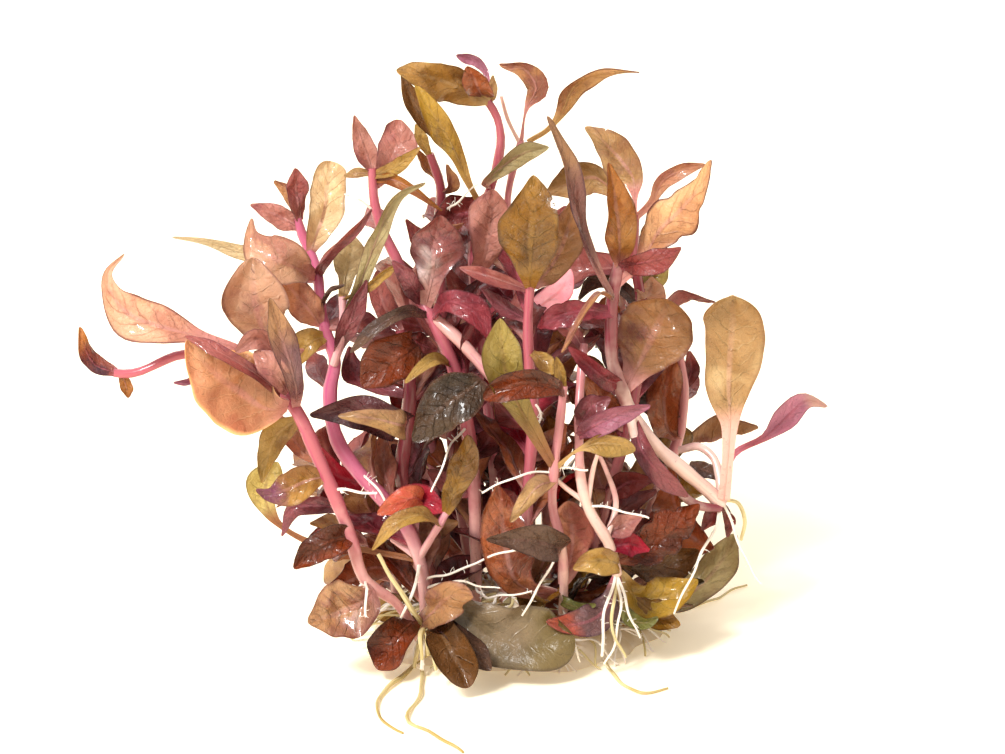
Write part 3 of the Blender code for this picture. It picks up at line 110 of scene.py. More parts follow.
def place(across, up, depth):
    """The point, in millimetres, that is drawn at this place and lies at this depth."""
    rise = up - VIEW_MIDDLE[1]
    far = 1 + depth * COSINE / VIEW_REACH
    z = (VIEW_MIDDLE[1] + rise * far - depth * SINE) / (COSINE + rise * SINE / VIEW_REACH)
    away = depth * COSINE - z * SINE
    x = VIEW_MIDDLE[0] + (across - VIEW_MIDDLE[0]) * (1 + away / VIEW_REACH)
    return np.array((x, depth, z))


def drawn(point):
    """The place across and up where a point is drawn."""
    x, y, z = point
    near = 1 + (y * COSINE - z * SINE) / VIEW_REACH
    across = VIEW_MIDDLE[0] + (x - VIEW_MIDDLE[0]) / near
    return across, VIEW_MIDDLE[1] + (y * SINE + z * COSINE - VIEW_MIDDLE[1]) / near


def seen(stations):
    """Drawn stations as (point, width) pairs."""
    return [(place(across, up, depth), width) for across, up, depth, width in stations]


FLOOR_GAP = 0.02


def on_floor(across, up, width):
    """A station that lies on the surface, where it is drawn at this place."""
    height = width / 2 + FLOOR_GAP
    rise = up - VIEW_MIDDLE[1]
    drop = up - height * COSINE - rise * height * SINE / VIEW_REACH
    return place(across, up, drop / (SINE - rise * COSINE / VIEW_REACH)), width


TANGLE_MIDDLE = np.array((-1.0, -1.0))
TANGLE_HALF = np.array((16.0, 11.0))
TANGLE_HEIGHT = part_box("root_tangle")[1][2] / MM
FOOT_SINK = 1.5
FOOT_LOWEST = 0.4


def tangle_top(x, y):
    """Height of the root mat at a place on the ground."""
    share = (np.array((x, y)) - TANGLE_MIDDLE) / TANGLE_HALF
    return TANGLE_HEIGHT * math.sqrt(max(0.0, 1 - share @ share))


def foot(x, y, width):
    """A stem's lowest station: it starts inside the root mat."""
    return np.array((x, y, max(FOOT_LOWEST, tangle_top(x, y) - FOOT_SINK))), width


print("a station at the middle of the drawing lies at", place(*VIEW_MIDDLE, 0).round(1), "mm")

# %% [markdown]
# ## Smooth lines
# A leaf's midrib and a stem are soft curves, but they are drawn with only a few stations. A cubic curve
# that passes through all stations gives the points between them. Widths use the same curve, with its
# slope held back at each widest place, so that a leaf never bulges past the width it was drawn with.

# %% Curves through the stations
SAMPLES = 72
THINNEST = 0.05


def through(knots, values, at, held=False):
    """Cubic curve through values at knots, read at other places. held keeps it from overshooting."""
    steps = np.diff(knots)
    rates = np.diff(values, axis=0) / (steps[:, None] if values.ndim > 1 else steps)
    slopes = np.gradient(values, knots, axis=0) if len(knots) > 2 else np.repeat(rates, 2, axis=0)
    if held:
        slopes[0], slopes[-1] = rates[0], rates[-1]
        turning = rates[:-1] * rates[1:] <= 0
        slopes[1:-1][turning] = 0
    cell = np.clip(np.searchsorted(knots, at, side="right") - 1, 0, len(steps) - 1)
    share = (at - knots[cell]) / steps[cell]
    step = steps[cell]
    if values.ndim > 1:
        share, step = share[:, None], step[:, None]
    first, second = values[cell], values[cell + 1]
    bow = share * (1 - share)
    lean_first = slopes[cell] * step - (second - first)
    lean_second = (second - first) - slopes[cell + 1] * step
    return first + (second - first) * share + bow * ((1 - share) * lean_first + share * lean_second)


def smooth_route(stations):
    """Even samples along the curve through the stations: points, directions and widths."""
    points = np.array([point for point, width in stations], dtype=float)
    widths = np.array([width for point, width in stations], dtype=float)
    knots = np.concatenate(([0], np.cumsum(np.linalg.norm(np.diff(points, axis=0), axis=1))))
    at = np.linspace(0, knots[-1], SAMPLES)
    line = through(knots, points, at)
    along = np.gradient(line, axis=0)
    along /= np.linalg.norm(along, axis=1)[:, None]
    return line, along, np.maximum(through(knots, widths, at, held=True), THINNEST), knots[-1]


def square_to(direction, along):
    """The unit part of a direction that is square to a line."""
    left = direction - along * (direction @ along)
    return left / np.linalg.norm(left)


def carried(along, start, first):
    """A direction square to a curve at one sample, carried along it both ways without twisting."""
    carried_on = np.empty_like(along)
    carried_on[start] = first
    for number in range(start - 1, -1, -1):
        carried_on[number] = square_to(carried_on[number + 1], along[number])
    for number in range(start + 1, len(along)):
        carried_on[number] = square_to(carried_on[number - 1], along[number])
    return carried_on


test = smooth_route(seen([(0, 0, 0, 1.0), (4, 6, 0, 5.0), (6, 14, 0, 0.2)]))
print("test curve length", round(test[3], 2), "mm, widest", round(test[2].max(), 2), "mm")

# %% [markdown]
# ## Blanks
# Every leaf of this plant has the same build: a thin closed blade with a midrib. So one flat blank is
# modelled by hand, with its upper face, its under face and a thin rim, and every leaf is a copy of it that
# is bent onto its own midrib. A coarser blank serves the many small leaves. Stems and roots are bent from
# a straight rod in the same way. A blank lies along X from 0 to 1, so its X says how far along it is.

# %% A flat leaf blank
SMOOTH_BELOW = math.radians(50)


def settle(name):
    """Applies an object's place and scale, names it and its mesh, and returns it."""
    made = bpy.context.object
    bpy.ops.object.transform_apply(location=True, rotation=True, scale=True)
    made.name = made.data.name = name
    return made


def leaf_blank(name, along, across):
    """A closed slab: a grid for the upper face, extruded down by one unit for rim and under face."""
    bpy.ops.object.select_all(action="DESELECT")
    bpy.ops.mesh.primitive_grid_add(x_subdivisions=along, y_subdivisions=across, size=2)
    bpy.ops.object.mode_set(mode="EDIT")
    bpy.ops.mesh.select_all(action="SELECT")
    bpy.ops.transform.translate(value=(1, 0, 0))
    bpy.ops.transform.resize(value=(0.5, 1, 1), center_override=(0, 0, 0))
    bpy.ops.mesh.extrude_region_move(TRANSFORM_OT_translate={"value": (0, 0, -1)})
    bpy.ops.mesh.select_all(action="SELECT")
    bpy.ops.mesh.normals_make_consistent(inside=False)
    bpy.ops.object.mode_set(mode="OBJECT")
    blank = settle(name)
    bpy.ops.object.shade_smooth_by_angle(angle=SMOOTH_BELOW)
    for face in blank.data.polygons:
        face.material_index = 0 if face.normal.z > 0.5 else 1
    return blank


FINE_LEAF = leaf_blank("fine_leaf_blank", along=46, across=14)
SMALL_LEAF = leaf_blank("small_leaf_blank", along=22, across=8)
print("leaf blanks:", len(FINE_LEAF.data.polygons), "and", len(SMALL_LEAF.data.polygons), "faces")

# %% A straight rod blank
def rod_blank(name, sides, rings):
    """A rod along X from 0 to 1, with a radius of one, cut into rings along its length."""
    bpy.ops.object.select_all(action="DESELECT")
    bpy.ops.mesh.primitive_cylinder_add(
        vertices=sides, radius=1, depth=1, location=(0.5, 0, 0), rotation=(0, math.pi / 2, 0)
    )
    rod = settle(name)
    bpy.ops.object.mode_set(mode="EDIT")
    bpy.ops.mesh.select_mode(type="EDGE")
    bpy.ops.mesh.select_all(action="DESELECT")
    bpy.ops.object.mode_set(mode="OBJECT")
    corners = rod.data.vertices
    for edge in rod.data.edges:
        start, end = (corners[number].co.x for number in edge.vertices)
        edge.select = abs(start - end) > 0.5
    bpy.ops.object.mode_set(mode="EDIT")
    bpy.ops.mesh.subdivide(number_cuts=rings - 1)
    bpy.ops.object.mode_set(mode="OBJECT")
    bpy.ops.object.shade_smooth_by_angle(angle=SMOOTH_BELOW)
    return rod


STEM_ROD = rod_blank("stem_blank", sides=10, rings=56)
TWIG_ROD = rod_blank("twig_blank", sides=8, rings=20)
ROOT_ROD = rod_blank("root_blank", sides=6, rings=22)
HAIR_ROD = rod_blank("hair_blank", sides=4, rings=3)
print("rod blanks:", [len(rod.data.polygons) for rod in (STEM_ROD, TWIG_ROD, ROOT_ROD, HAIR_ROD)], "faces")

# %% [markdown]
# ## Leaf tissue
# A leaf isn't one colour. Its blade is mottled, its side veins are paler and sunk a little, a net of fine
# veins lies between them, its thin edge is darker or paler, and pink runs from the stem into the midrib.
# Pale patches in the vein colour are painted sheen, and one half of the blade is painted lighter and the
# other darker as painted shade, with a slight shift of hue between the halves. All leaves share this build
# and differ only in their colours, so it is one node group. It reads the leaf's own UV map, which runs from
# the base of the blade to its tip and from edge to edge, and two values that each leaf carries: tone, which
# sets one leaf off from the next and picks which half is painted lighter, and blade, which is nought on the
# leaf stalk.

# %% Helpers for node trees
def add(tree, kind, values=None, **settings):
    """Adds a shader node. A value that is another node's socket is linked."""
    made = tree.nodes.new("ShaderNode" + kind)
    for key, value in settings.items():
        setattr(made, key, value)
    for key, value in (values or {}).items():
        if isinstance(value, bpy.types.NodeSocket):
            tree.links.new(value, made.inputs[key])
        else:
            made.inputs[key].default_value = value
    return made


def sums(tree, operation, *values, clamp=False):
    """The result of one Math node."""
    return add(tree, "Math", dict(enumerate(values)), operation=operation, use_clamp=clamp).outputs[0]


def times(tree, first, second):
    """One value times another."""
    return sums(tree, "MULTIPLY", first, second)


def scaled(tree, value, factor, plus):
    """A value times a factor, plus another value."""
    return sums(tree, "MULTIPLY_ADD", value, factor, plus)


def band(tree, value, low, high, start=0.0, end=1.0):
    """A soft step from start to end while value goes from low to high."""
    ends = {0: value, 1: low, 2: high, 3: start, 4: end}
    return add(tree, "MapRange", ends, interpolation_type="SMOOTHSTEP").outputs[0]


def blend_colours(tree, share, first, second):
    """The result of one colour Mix node."""
    return add(tree, "Mix", {0: share, 6: first, 7: second}, data_type="RGBA").outputs[2]


def noise(tree, where, scale, detail=2.0, roughness=0.5, distortion=0.0):
    """The grey value of one Noise Texture."""
    values = {"Vector": where, "Scale": scale, "Detail": detail, "Roughness": roughness,
              "Distortion": distortion}
    return add(tree, "TexNoise", values).outputs[0]


def tint(code):
    """A colour written as six hex digits, as the linear values that Blender works with."""
    shares = [int(code[place:place + 2], 16) / 255 for place in (0, 2, 4)]
    return tuple(s / 12.92 if s <= 0.04045 else ((s + 0.055) / 1.055) ** 2.4 for s in shares) + (1.0,)


def node_group(name, inputs, outputs):
    """An empty shader group with named sockets, and its inner ends."""
    tree = bpy.data.node_groups.new(name, "ShaderNodeTree")
    for label, value in inputs.items():
        kind = "NodeSocketColor" if isinstance(value, tuple) else "NodeSocketFloat"
        tree.interface.new_socket(label, in_out="INPUT", socket_type=kind).default_value = value
    for label, kind in outputs.items():
        tree.interface.new_socket(label, in_out="OUTPUT", socket_type="NodeSocket" + kind)
    return tree, tree.nodes.new("NodeGroupInput").outputs, tree.nodes.new("NodeGroupOutput").inputs


print("a warm brown in linear values:", [round(v, 3) for v in tint("a8692e")])

# %% The leaf tissue group
SIDE_VEINS = 7.0
VEIN_SLANT = 1.7
VEIN_SHIFT = 0.4
VEIN_WANDER = 0.9
SHEEN_CLOUD_SCALE, WANDER_SCALE, WRINKLE_SCALE, NET_SCALE, FINE_SCALE = 190.0, 600.0, 1100.0, 1500.0, 3200.0

tissue, given, out = node_group(
    "Leaf Tissue",
    {"Blade": tint("9a6238"), "Patch": tint("7c3c2c"), "Base": tint("c98488"), "Vein": tint("c79a6c"),
     "Rim": tint("6e2f2a"), "Tip": tint("c67c38"), "Fleck": tint("3a1c16"), "Patch Amount": 0.5,
     "Mottle Scale": 420.0, "Vein Strength": 0.5, "Net Strength": 0.3, "Rim Strength": 0.6,
     "Midrib Strength": 0.7, "Tip Strength": 0.0, "Painted Sheen Strength": 0.3, "Fleck Strength": 0.4},
    {"Colour": "Color", "Light Through": "Color", "Roughness": "Float", "Height": "Float"},
)
on_leaf = add(tissue, "SeparateXYZ", {0: add(tissue, "UVMap", uv_map="UVMap").outputs[0]}).outputs
on_piece = add(tissue, "TexCoord").outputs["Object"]
tone = add(tissue, "Attribute", attribute_name="tone").outputs["Fac"]
blade_part = add(tissue, "Attribute", attribute_name="blade").outputs["Fac"]
across_leaf = sums(tissue, "ABSOLUTE", scaled(tissue, on_leaf[1], 2.0, -1.0))
mottle = noise(tissue, on_piece, given["Mottle Scale"], 5.0, 0.62, 0.4)
wander = noise(tissue, on_piece, WANDER_SCALE)
wrinkle = noise(tissue, on_piece, WRINKLE_SCALE, 3.0, 0.6, 1.2)
sheen_cloud = noise(tissue, on_piece, SHEEN_CLOUD_SCALE)

phase = times(tissue, on_leaf[1], VEIN_SHIFT)
phase = scaled(tissue, on_leaf[0], SIDE_VEINS, phase)
phase = scaled(tissue, across_leaf, -VEIN_SLANT, phase)
phase = scaled(tissue, wander, VEIN_WANDER, phase)
saw = sums(tissue, "FRACT", phase)
off_vein = sums(tissue, "ABSOLUTE", sums(tissue, "SUBTRACT", saw, 0.5))
side_vein = times(tissue, band(tissue, off_vein, 0.42, 0.5), band(tissue, across_leaf, 0.98, 0.55))
side_vein = times(tissue, side_vein, blade_part)
midrib = times(tissue, band(tissue, across_leaf, 0.15, 0.03), band(tissue, on_leaf[0], 1.05, 0.2))
cells = add(tissue, "TexVoronoi", {"Vector": on_piece, "Scale": NET_SCALE}, feature="DISTANCE_TO_EDGE")
net = times(tissue, band(tissue, cells.outputs["Distance"], 0.09, 0.01), blade_part)
fine = noise(tissue, on_piece, FINE_SCALE, 2.0, 0.6)
fleck = band(tissue, fine, 0.62, 0.72)
rim = band(tissue, scaled(tissue, mottle, 0.16, across_leaf), 0.93, 1.07)
# Painted shade: by its tone, one half of each blade is painted lighter and the other darker, and its hue
# shifts a little between the halves.
half_tint_and_painted_shade = times(tissue, sums(tissue, "SUBTRACT", on_leaf[1], 0.5), tone)
patch = scaled(tissue, tone, 0.09, mottle)
patch = scaled(tissue, half_tint_and_painted_shade, 0.4, patch)
patch = scaled(tissue, on_leaf[0], -0.14, patch)
patch = sums(tissue, "ADD", patch, scaled(tissue, given["Patch Amount"], 0.4, -0.13))
patch = band(tissue, patch, 0.42, 0.66)

colour = blend_colours(tissue, patch, given["Blade"], given["Patch"])
tipped = band(tissue, scaled(tissue, mottle, 0.4, on_leaf[0]), 0.72, 1.0)
tipped = times(tissue, tipped, given["Tip Strength"])
colour = blend_colours(tissue, tipped, colour, given["Tip"])
# Painted sheen: a coarse noise lays pale patches of the vein colour over the blade.
painted_sheen = times(tissue, band(tissue, sheen_cloud, 0.5, 0.72), given["Painted Sheen Strength"])
colour = blend_colours(tissue, painted_sheen, colour, given["Vein"])
brightness_with_painted_shade = scaled(tissue, tone, 0.14, scaled(tissue, mottle, 0.7, 0.62))
brightness_with_painted_shade = scaled(tissue, wrinkle, 0.15, brightness_with_painted_shade)
# The painted shade of the two halves goes into the brightness here.
brightness_with_painted_shade = scaled(tissue, half_tint_and_painted_shade, 0.3, brightness_with_painted_shade)
colour = add(tissue, "HueSaturation", {"Value": brightness_with_painted_shade, "Color": colour}).outputs[0]
for place_of, strength, layer in (
    (side_vein, "Vein Strength", "Vein"), (net, "Net Strength", "Vein"), (rim, "Rim Strength", "Rim")
):
    share = times(tissue, place_of, given[strength])
    colour = blend_colours(tissue, share, colour, given[layer])
stalk = sums(tissue, "SUBTRACT", 1.0, blade_part)
pink = sums(tissue, "MAXIMUM", stalk, times(tissue, midrib, given["Midrib Strength"]))
colour = blend_colours(tissue, pink, colour, given["Base"])
flecked = times(tissue, fleck, given["Fleck Strength"])
colour = blend_colours(tissue, flecked, colour, given["Fleck"])
tissue.links.new(colour, out["Colour"])
shining = add(tissue, "HueSaturation", {"Saturation": 0.9, "Value": 1.65, "Color": colour}).outputs[0]
tissue.links.new(shining, out["Light Through"])

dip = scaled(tissue, side_vein, -0.3, times(tissue, net, -0.06))
relief = scaled(tissue, mottle, 0.8, scaled(tissue, fine, 0.2, dip))
relief = scaled(tissue, wrinkle, 0.55, relief)
tissue.links.new(scaled(tissue, midrib, -0.4, relief), out["Height"])
rough = scaled(tissue, mottle, 0.34, times(tissue, fine, 0.1))
tissue.links.new(sums(tissue, "ADD", rough, 0.07, clamp=True), out["Roughness"])
print("leaf tissue group:", len(tissue.nodes), "nodes")

# %% [markdown]
# ## Leaf finishes
# The leaves fade from green through ochre and bronze to rose, crimson and near black, and they are wet, so
# they shine in small sharp spots. Each finish fills the leaf tissue group with its own colours. The light
# that comes through a thin leaf is a Translucent shader mixed in, because the clump stands on white.

# %% One finish from one set of colours
PINK_BASE, PALE_BASE, ROSE_BASE = "c48c84", "bc9a64", "b4606c"
LEAF_FLECKS = 0.25
LEAF_TIPS = 0.9
LEAF_RELIEF = 0.0005
FINISHES = {}


def wet_finish(name, group, values, bump, skin, glow, shining="Colour"):
    """A material: the group's colours on a wet skin, mixed with light that comes through it."""
    material = bpy.data.materials.new(name)
    material.use_nodes = True
    tree = material.node_tree
    tree.nodes.clear()
    made = add(tree, "Group", values, node_tree=group).outputs
    strength, distance = bump
    relief = add(tree, "Bump", {"Strength": strength, "Distance": distance, "Height": made["Height"]})
    coated = {"Base Color": made["Colour"], "Normal": relief.outputs[0]}
    if "Roughness" in made:
        coated["Roughness"] = made["Roughness"]
    wet_skin = add(tree, "BsdfPrincipled", coated | skin)
    through_light = add(tree, "BsdfTranslucent", {"Color": made[shining]})
    both = add(tree, "MixShader", {0: glow, 1: wet_skin.outputs[0], 2: through_light.outputs[0]})
    add(tree, "OutputMaterial", {0: both.outputs[0]})
    return material


def leaf_finish(name, codes, base=PINK_BASE, amount=0.45, veins=0.2, net=0.09, edge=0.65, midrib=0.5,
                scale=320.0, glow=0.34, wet=0.3, bump=0.7, tip=None, painted_sheen=0.35):
    """A glossy, thin leaf. The codes are the colours of the blade, the patches, the veins and the rim; the
    vein colour is also laid on in pale patches as painted sheen.
    """
    blade, patch, vein_and_sheen, rim = codes.split()
    colours = {"Blade": blade, "Patch": patch, "Vein": vein_and_sheen, "Rim": rim, "Base": base, "Tip": tip or blade}
    amounts = {"Patch Amount": amount, "Mottle Scale": scale, "Vein Strength": veins, "Net Strength": net,
               "Rim Strength": edge, "Midrib Strength": midrib, "Fleck Strength": LEAF_FLECKS,
               "Tip Strength": LEAF_TIPS if tip else 0.0, "Painted Sheen Strength": painted_sheen}
    values = {label: tint(code) for label, code in colours.items()} | amounts
    skin = {"Coat Weight": wet, "Coat Roughness": 0.07, "IOR": 1.33}
    relief = (bump, LEAF_RELIEF)
    FINISHES[name] = wet_finish("leaf_" + name, tissue, values, relief, skin, glow, "Light Through")


print("the relief of a leaf's skin is up to", LEAF_RELIEF / MM, "mm")

# %% All leaf finishes
leaf_finish("amber", "a0662e 7c4426 c69858 6a3420")
leaf_finish("honey", "9a7034 785428 c8a462 603e22", base=PALE_BASE, amount=0.4, wet=0.6)
leaf_finish("bronze", "a8784e 845242 c49c70 683630", amount=0.5)
leaf_finish("copper", "b88464 925a48 dab090 783e36", glow=0.4, wet=0.5)
leaf_finish("shell", "ba8460 a4684a e8c49c eac08c", amount=0.4, edge=0.85, glow=0.42, wet=0.5)
leaf_finish("toffee", "ac8058 8a584a cea67c 6c3228", amount=0.55, glow=0.32, wet=0.8, bump=0.9)
leaf_finish("tan", "b08c5c 906a4a ccac80 785040", glow=0.36)
leaf_finish("sand", "bca882 a08a66 d0bc9a 84684e", base=PALE_BASE, amount=0.4)
leaf_finish("spoon", "ae8a5c 96724a dcc698 8c6440", base="e0b4a8", amount=0.4, midrib=0.3, tip="9c784c",
            painted_sheen=0.5)
leaf_finish("gold", "b08a30 886224 d0b060 6e4622", base=PALE_BASE, wet=0.5)
leaf_finish("peach", "cca486 b07e6a 9c6054 743a38", amount=0.4, net=0.06, edge=0.9, glow=0.36)
leaf_finish("apricot", "b28654 8e5e3c dcb888 6a3c2a", base=PALE_BASE, edge=1.0)
leaf_finish("biscuit", "caa074 a67a56 8c5848 5c2c28", amount=0.4, net=0.05, edge=1.0)
leaf_finish("blossom", "b47c6e 945a58 cc9a8c 703c42", glow=0.38)
leaf_finish("rose", "a05a52 7c3e40 bc8078 5c2c32", amount=0.5, glow=0.38, wet=0.45)
leaf_finish("salmon", "b07458 8e5044 c89678 6a3230", glow=0.38)
leaf_finish("rust", "a45a32 70321e c08050 50201a", amount=0.5, glow=0.36, wet=0.7, bump=0.8)
leaf_finish("russet", "94482a 64301e ac6c4c 421a16", wet=0.5, bump=0.9)
leaf_finish("garnet", "702c0c 461c0a 844220 2c1008", base="7c3c20", bump=0.9, glow=0.24)
leaf_finish("fawn", "ba8e72 966656 dcc0a0 784640", glow=0.36, wet=0.6)
leaf_finish("maroon", "843a36 582624 a65a54 3c1814", base=ROSE_BASE, amount=0.5, glow=0.36)
leaf_finish("wine", "92363e 642028 b65c66 46161c", base=ROSE_BASE, amount=0.5, glow=0.42)
leaf_finish("plum", "88464a 603034 ae6c70 461e26", base=ROSE_BASE, wet=0.45)
leaf_finish("mauve", "a66476 86505e c4909e 6a3048", base=ROSE_BASE)
leaf_finish("orchid", "c48898 a46a7a d8a8b0 6c3048", base=ROSE_BASE, tip="c4a08e")
leaf_finish("blush", "ecc4ca dca8b2 f2d6d8 c08890", amount=0.4, glow=0.6)
leaf_finish("ember", "8a4a3c 503038 b4705a 442028", base=ROSE_BASE, amount=0.5, tip="c0843e", glow=0.3)
leaf_finish("dusk", "72504e 543c40 8e706e 3e2430", base=ROSE_BASE, amount=0.5, tip="c0583c")
leaf_finish("thorn", "a47a3a 82582c c8a464 704428", amount=0.4, tip="6a3450", glow=0.36)
leaf_finish("dark", "3e2c1e 261a12 5c452e 4a2c1c", base="5c4030", amount=0.5, veins=0.1, net=0.03, wet=0.15,
            bump=1.0, glow=0.06, painted_sheen=0.15)
leaf_finish("smoke", "583e30 3c2a24 74584a 2c1c18", base="744a40", amount=0.5, wet=0.12, glow=0.12)
leaf_finish("crimson", "aa2036 7c182a cc5460 54121c", base=ROSE_BASE, amount=0.4, glow=0.45)
leaf_finish("scarlet", "c05840 9c303a e09468 78182a", base=ROSE_BASE, amount=0.5, veins=0.5, glow=0.4)
leaf_finish("olive", "865a16 62401a ae8840 4c2e1c", base="a27834", amount=0.5, wet=0.5, bump=0.8)
leaf_finish("moss", "747038 585a2c 989450 4a3e24", base=PALE_BASE)
leaf_finish("yellow", "a48c46 866a36 d0c07c 6c542c", base="96603c", painted_sheen=0.6)
leaf_finish("ochre", "a88442 866030 c8a868 664226", base=PALE_BASE)
leaf_finish("sage", "a4946a 86704e bcae84 644438")
leaf_finish("slate", "74614a 5a4c38 84704e 4a3c30", base="7c6a4a", amount=0.5, midrib=0.15, glow=0.12,
            scale=160.0, net=0.04, bump=0.4, tip="48390c")
leaf_finish("umber", "684220 4c321c 866440 362414", base="7c5c3c", amount=0.5, glow=0.24)
leaf_finish("straw", "d0b690 b09872 e8d8b4 866448", amount=0.4, glow=0.4)
# The pale sheen on this maroon leaf is painted: a near-white vein colour laid on in broad patches.
leaf_finish("maroon_painted_sheen", "90504a 683838 e8dcd4 4c2428", amount=0.5, veins=0.06, net=0.02, painted_sheen=1.0, wet=0.6)
leaf_finish("heather", "84544c 644044 a8847a 442830", amount=0.5, tip="a07650", glow=0.26)
leaf_finish("night", "5a3032 3c2024 7c4c4c 2a1416", base="7c4048", amount=0.5, wet=0.2, glow=0.15)
leaf_finish("under_rose", "b07460 90524a c89684 6a3432", veins=0.35, wet=0.15)
leaf_finish("under_plum", "8e5258 6e3840 b07c82 4e242c", base=ROSE_BASE, veins=0.35, wet=0.15)
leaf_finish("under_tan", "b49064 96724e cead86 7e523e", amount=0.4, veins=0.35, wet=0.15)
TAN_BELOW = "amber honey toffee tan sand spoon gold apricot thorn olive moss yellow ochre slate"
PLUM_BELOW = "wine plum mauve orchid ember dusk crimson scarlet"
UNDERSIDES = dict.fromkeys(TAN_BELOW.split(), "under_tan") | dict.fromkeys(PLUM_BELOW.split(), "under_plum")
print("leaf finishes:", len(FINISHES))

# %% [markdown]
# ## Stem and root finishes
# A stem is juicy and pink, pale near its foot and redder above, with long streaks and tiny specks. A root
# is white and almost clear, and an old one turns golden. The streaks have to follow the stem, so they read
# its UV map, which holds the millimetres along it and the turn around it.

# %% Stem and root finishes
skin_group, given, out = node_group(
    "Stem Skin",
    {"Pale": tint("e6aca8"), "Deep": tint("c8707c"), "Streak": tint("bf3c74"), "Speck": tint("8c3a44"),
     "Streak Amount": 0.5},
    {"Colour": "Color", "Height": "Float"},
)
on_stem = add(skin_group, "UVMap", uv_map="UVMap").outputs[0]
on_piece = add(skin_group, "TexCoord").outputs["Object"]
tone = add(skin_group, "Attribute", attribute_name="tone").outputs["Fac"]
stretched = add(skin_group, "Mapping", {"Vector": on_stem, "Scale": (0.16, 5.0, 1.0)}).outputs[0]
streaks = noise(skin_group, stretched, 1.6, 3.0, 0.6)
blotches = noise(skin_group, on_piece, 240.0, 3.0, 0.55)
specks = noise(skin_group, on_piece, 3600.0, 1.0)
along_stem = add(skin_group, "SeparateXYZ", {0: on_stem}).outputs[0]
deepening = sums(skin_group, "MINIMUM", scaled(skin_group, along_stem, 0.3, -0.32), 0.3)
depth = sums(skin_group, "ADD", scaled(skin_group, tone, 0.12, blotches), deepening)
colour = blend_colours(skin_group, band(skin_group, depth, 0.3, 0.75), given["Pale"], given["Deep"])
streaked = times(skin_group, band(skin_group, streaks, 0.52, 0.72), given["Streak Amount"])
colour = blend_colours(skin_group, streaked, colour, given["Streak"])
speckled = band(skin_group, specks, 0.68, 0.78, 0.0, 0.3)
colour = blend_colours(skin_group, speckled, colour, given["Speck"])
skin_group.links.new(colour, out["Colour"])
ridges = scaled(skin_group, specks, 0.35, streaks)
skin_group.links.new(ridges, out["Height"])

STALK_RELIEF = (0.35, 0.00012)


def stalk_finish(name, codes, streaks=0.4, rough=0.25, glow=0.28):
    """A stem or root finish. The codes are its pale and its deep colour, its streaks and its specks."""
    colours = dict(zip(("Pale", "Deep", "Streak", "Speck"), codes.split()))
    values = {label: tint(code) for label, code in colours.items()} | {"Streak Amount": streaks}
    skin = {"Roughness": rough, "Coat Weight": 0.6, "Coat Roughness": 0.15, "IOR": 1.4}
    FINISHES[name] = wet_finish(name, skin_group, values, STALK_RELIEF, skin, glow)


stalk_finish("stem_pink", "e6b0a8 bc606c c03c78 94444e", streaks=0.45)
stalk_finish("stem_flush", "f2d2c4 8e3e48 9c2c58 74303a")
stalk_finish("stem_magenta", "ecb8b8 c86c88 bc2c80 8c2c54", streaks=0.55)
stalk_finish("stem_rose", "c8807c 98444c a43460 642028", streaks=0.5)
stalk_finish("stem_pale", "f0ccbe d08a8c c4647c a05858")
stalk_finish("root_white", "fbf4ea f2e4d0 fffaf2 e0c8b0", rough=0.35, glow=0.4)
stalk_finish("root_gold", "e0d09c c0a458 ece0b4 94803c", rough=0.4, glow=0.35)
stalk_finish("root_mat", "fdf3e0 e6d6b6 fffaf0 bca680", streaks=0.5, rough=0.6, glow=0.4)
print("finishes in all:", len(FINISHES))

# %% [markdown]
# ## Bending a blank into a leaf
# The flat blank is laid along the smooth midrib, made as wide as the leaf is there, and given its body: both
# halves curl up or down from the midrib, the edge waves, the tissue puffs up between the sunken side veins,
# and the rib below swells into a round stalk at the base. A leaf turns its face to the viewer unless it is
# told to turn. This is mesh code and no operator, because no operator follows a measured line this closely.

# %% Reading a blank
def blank_corners(blank):
    """The blank's corners as an array of x, y and z."""
    flat = np.empty(len(blank.data.vertices) * 3)
    blank.data.vertices.foreach_get("co", flat)
    return flat.reshape(-1, 3)


def soft_step(low, high, value):
    """0 below low, 1 above high and a soft step between them."""
    share = np.clip((value - low) / (high - low), 0, 1)
    return share * share * (3 - 2 * share)


def on_samples(u, *tracks):
    """Values of several sampled tracks at the shares u of the way along."""
    at = np.clip(u, 0, 1) * (SAMPLES - 1)
    low = np.minimum(at.astype(int), SAMPLES - 2)
    share = at - low
    found = []
    for track in tracks:
        part = share[:, None] if track.ndim > 1 else share
        found.append(track[low] * (1 - part) + track[low + 1] * part)
    return found


print("corners of the small leaf blank:", len(blank_corners(SMALL_LEAF)))

# %% A bent copy of a blank
def new_piece(blank, corners, uv, finishes, tone, blade=None):
    """A copy of the blank with its own mesh, corners, UV map, finishes and the values that finishes read."""
    piece = blank.copy()
    piece.data = blank.data.copy()
    bpy.context.scene.collection.objects.link(piece)
    mesh = piece.data
    mesh.vertices.foreach_set("co", (corners * MM).ravel())
    order = np.empty(len(mesh.loops), dtype=int)
    mesh.loops.foreach_get("vertex_index", order)
    layer = mesh.uv_layers[0]
    layer.name = "UVMap"
    layer.data.foreach_set("uv", uv[order].ravel())
    blade = np.ones(len(corners)) if blade is None else blade
    for label, values in (("tone", np.full(len(corners), float(tone))), ("blade", blade)):
        mesh.attributes.new(label, "FLOAT", "POINT").data.foreach_set("value", values)
    mesh.materials.clear()
    for finish in finishes:
        mesh.materials.append(FINISHES[finish])
    return piece


BOX_LOW, BOX_HIGH = (np.array(corner) / MM for corner in cad_box)
print("pieces may reach from", BOX_LOW.round(1), "to", BOX_HIGH.round(1), "mm")

# %% The way that one leaf bends
luck = random.Random(7)
MOST_TWIST = 35


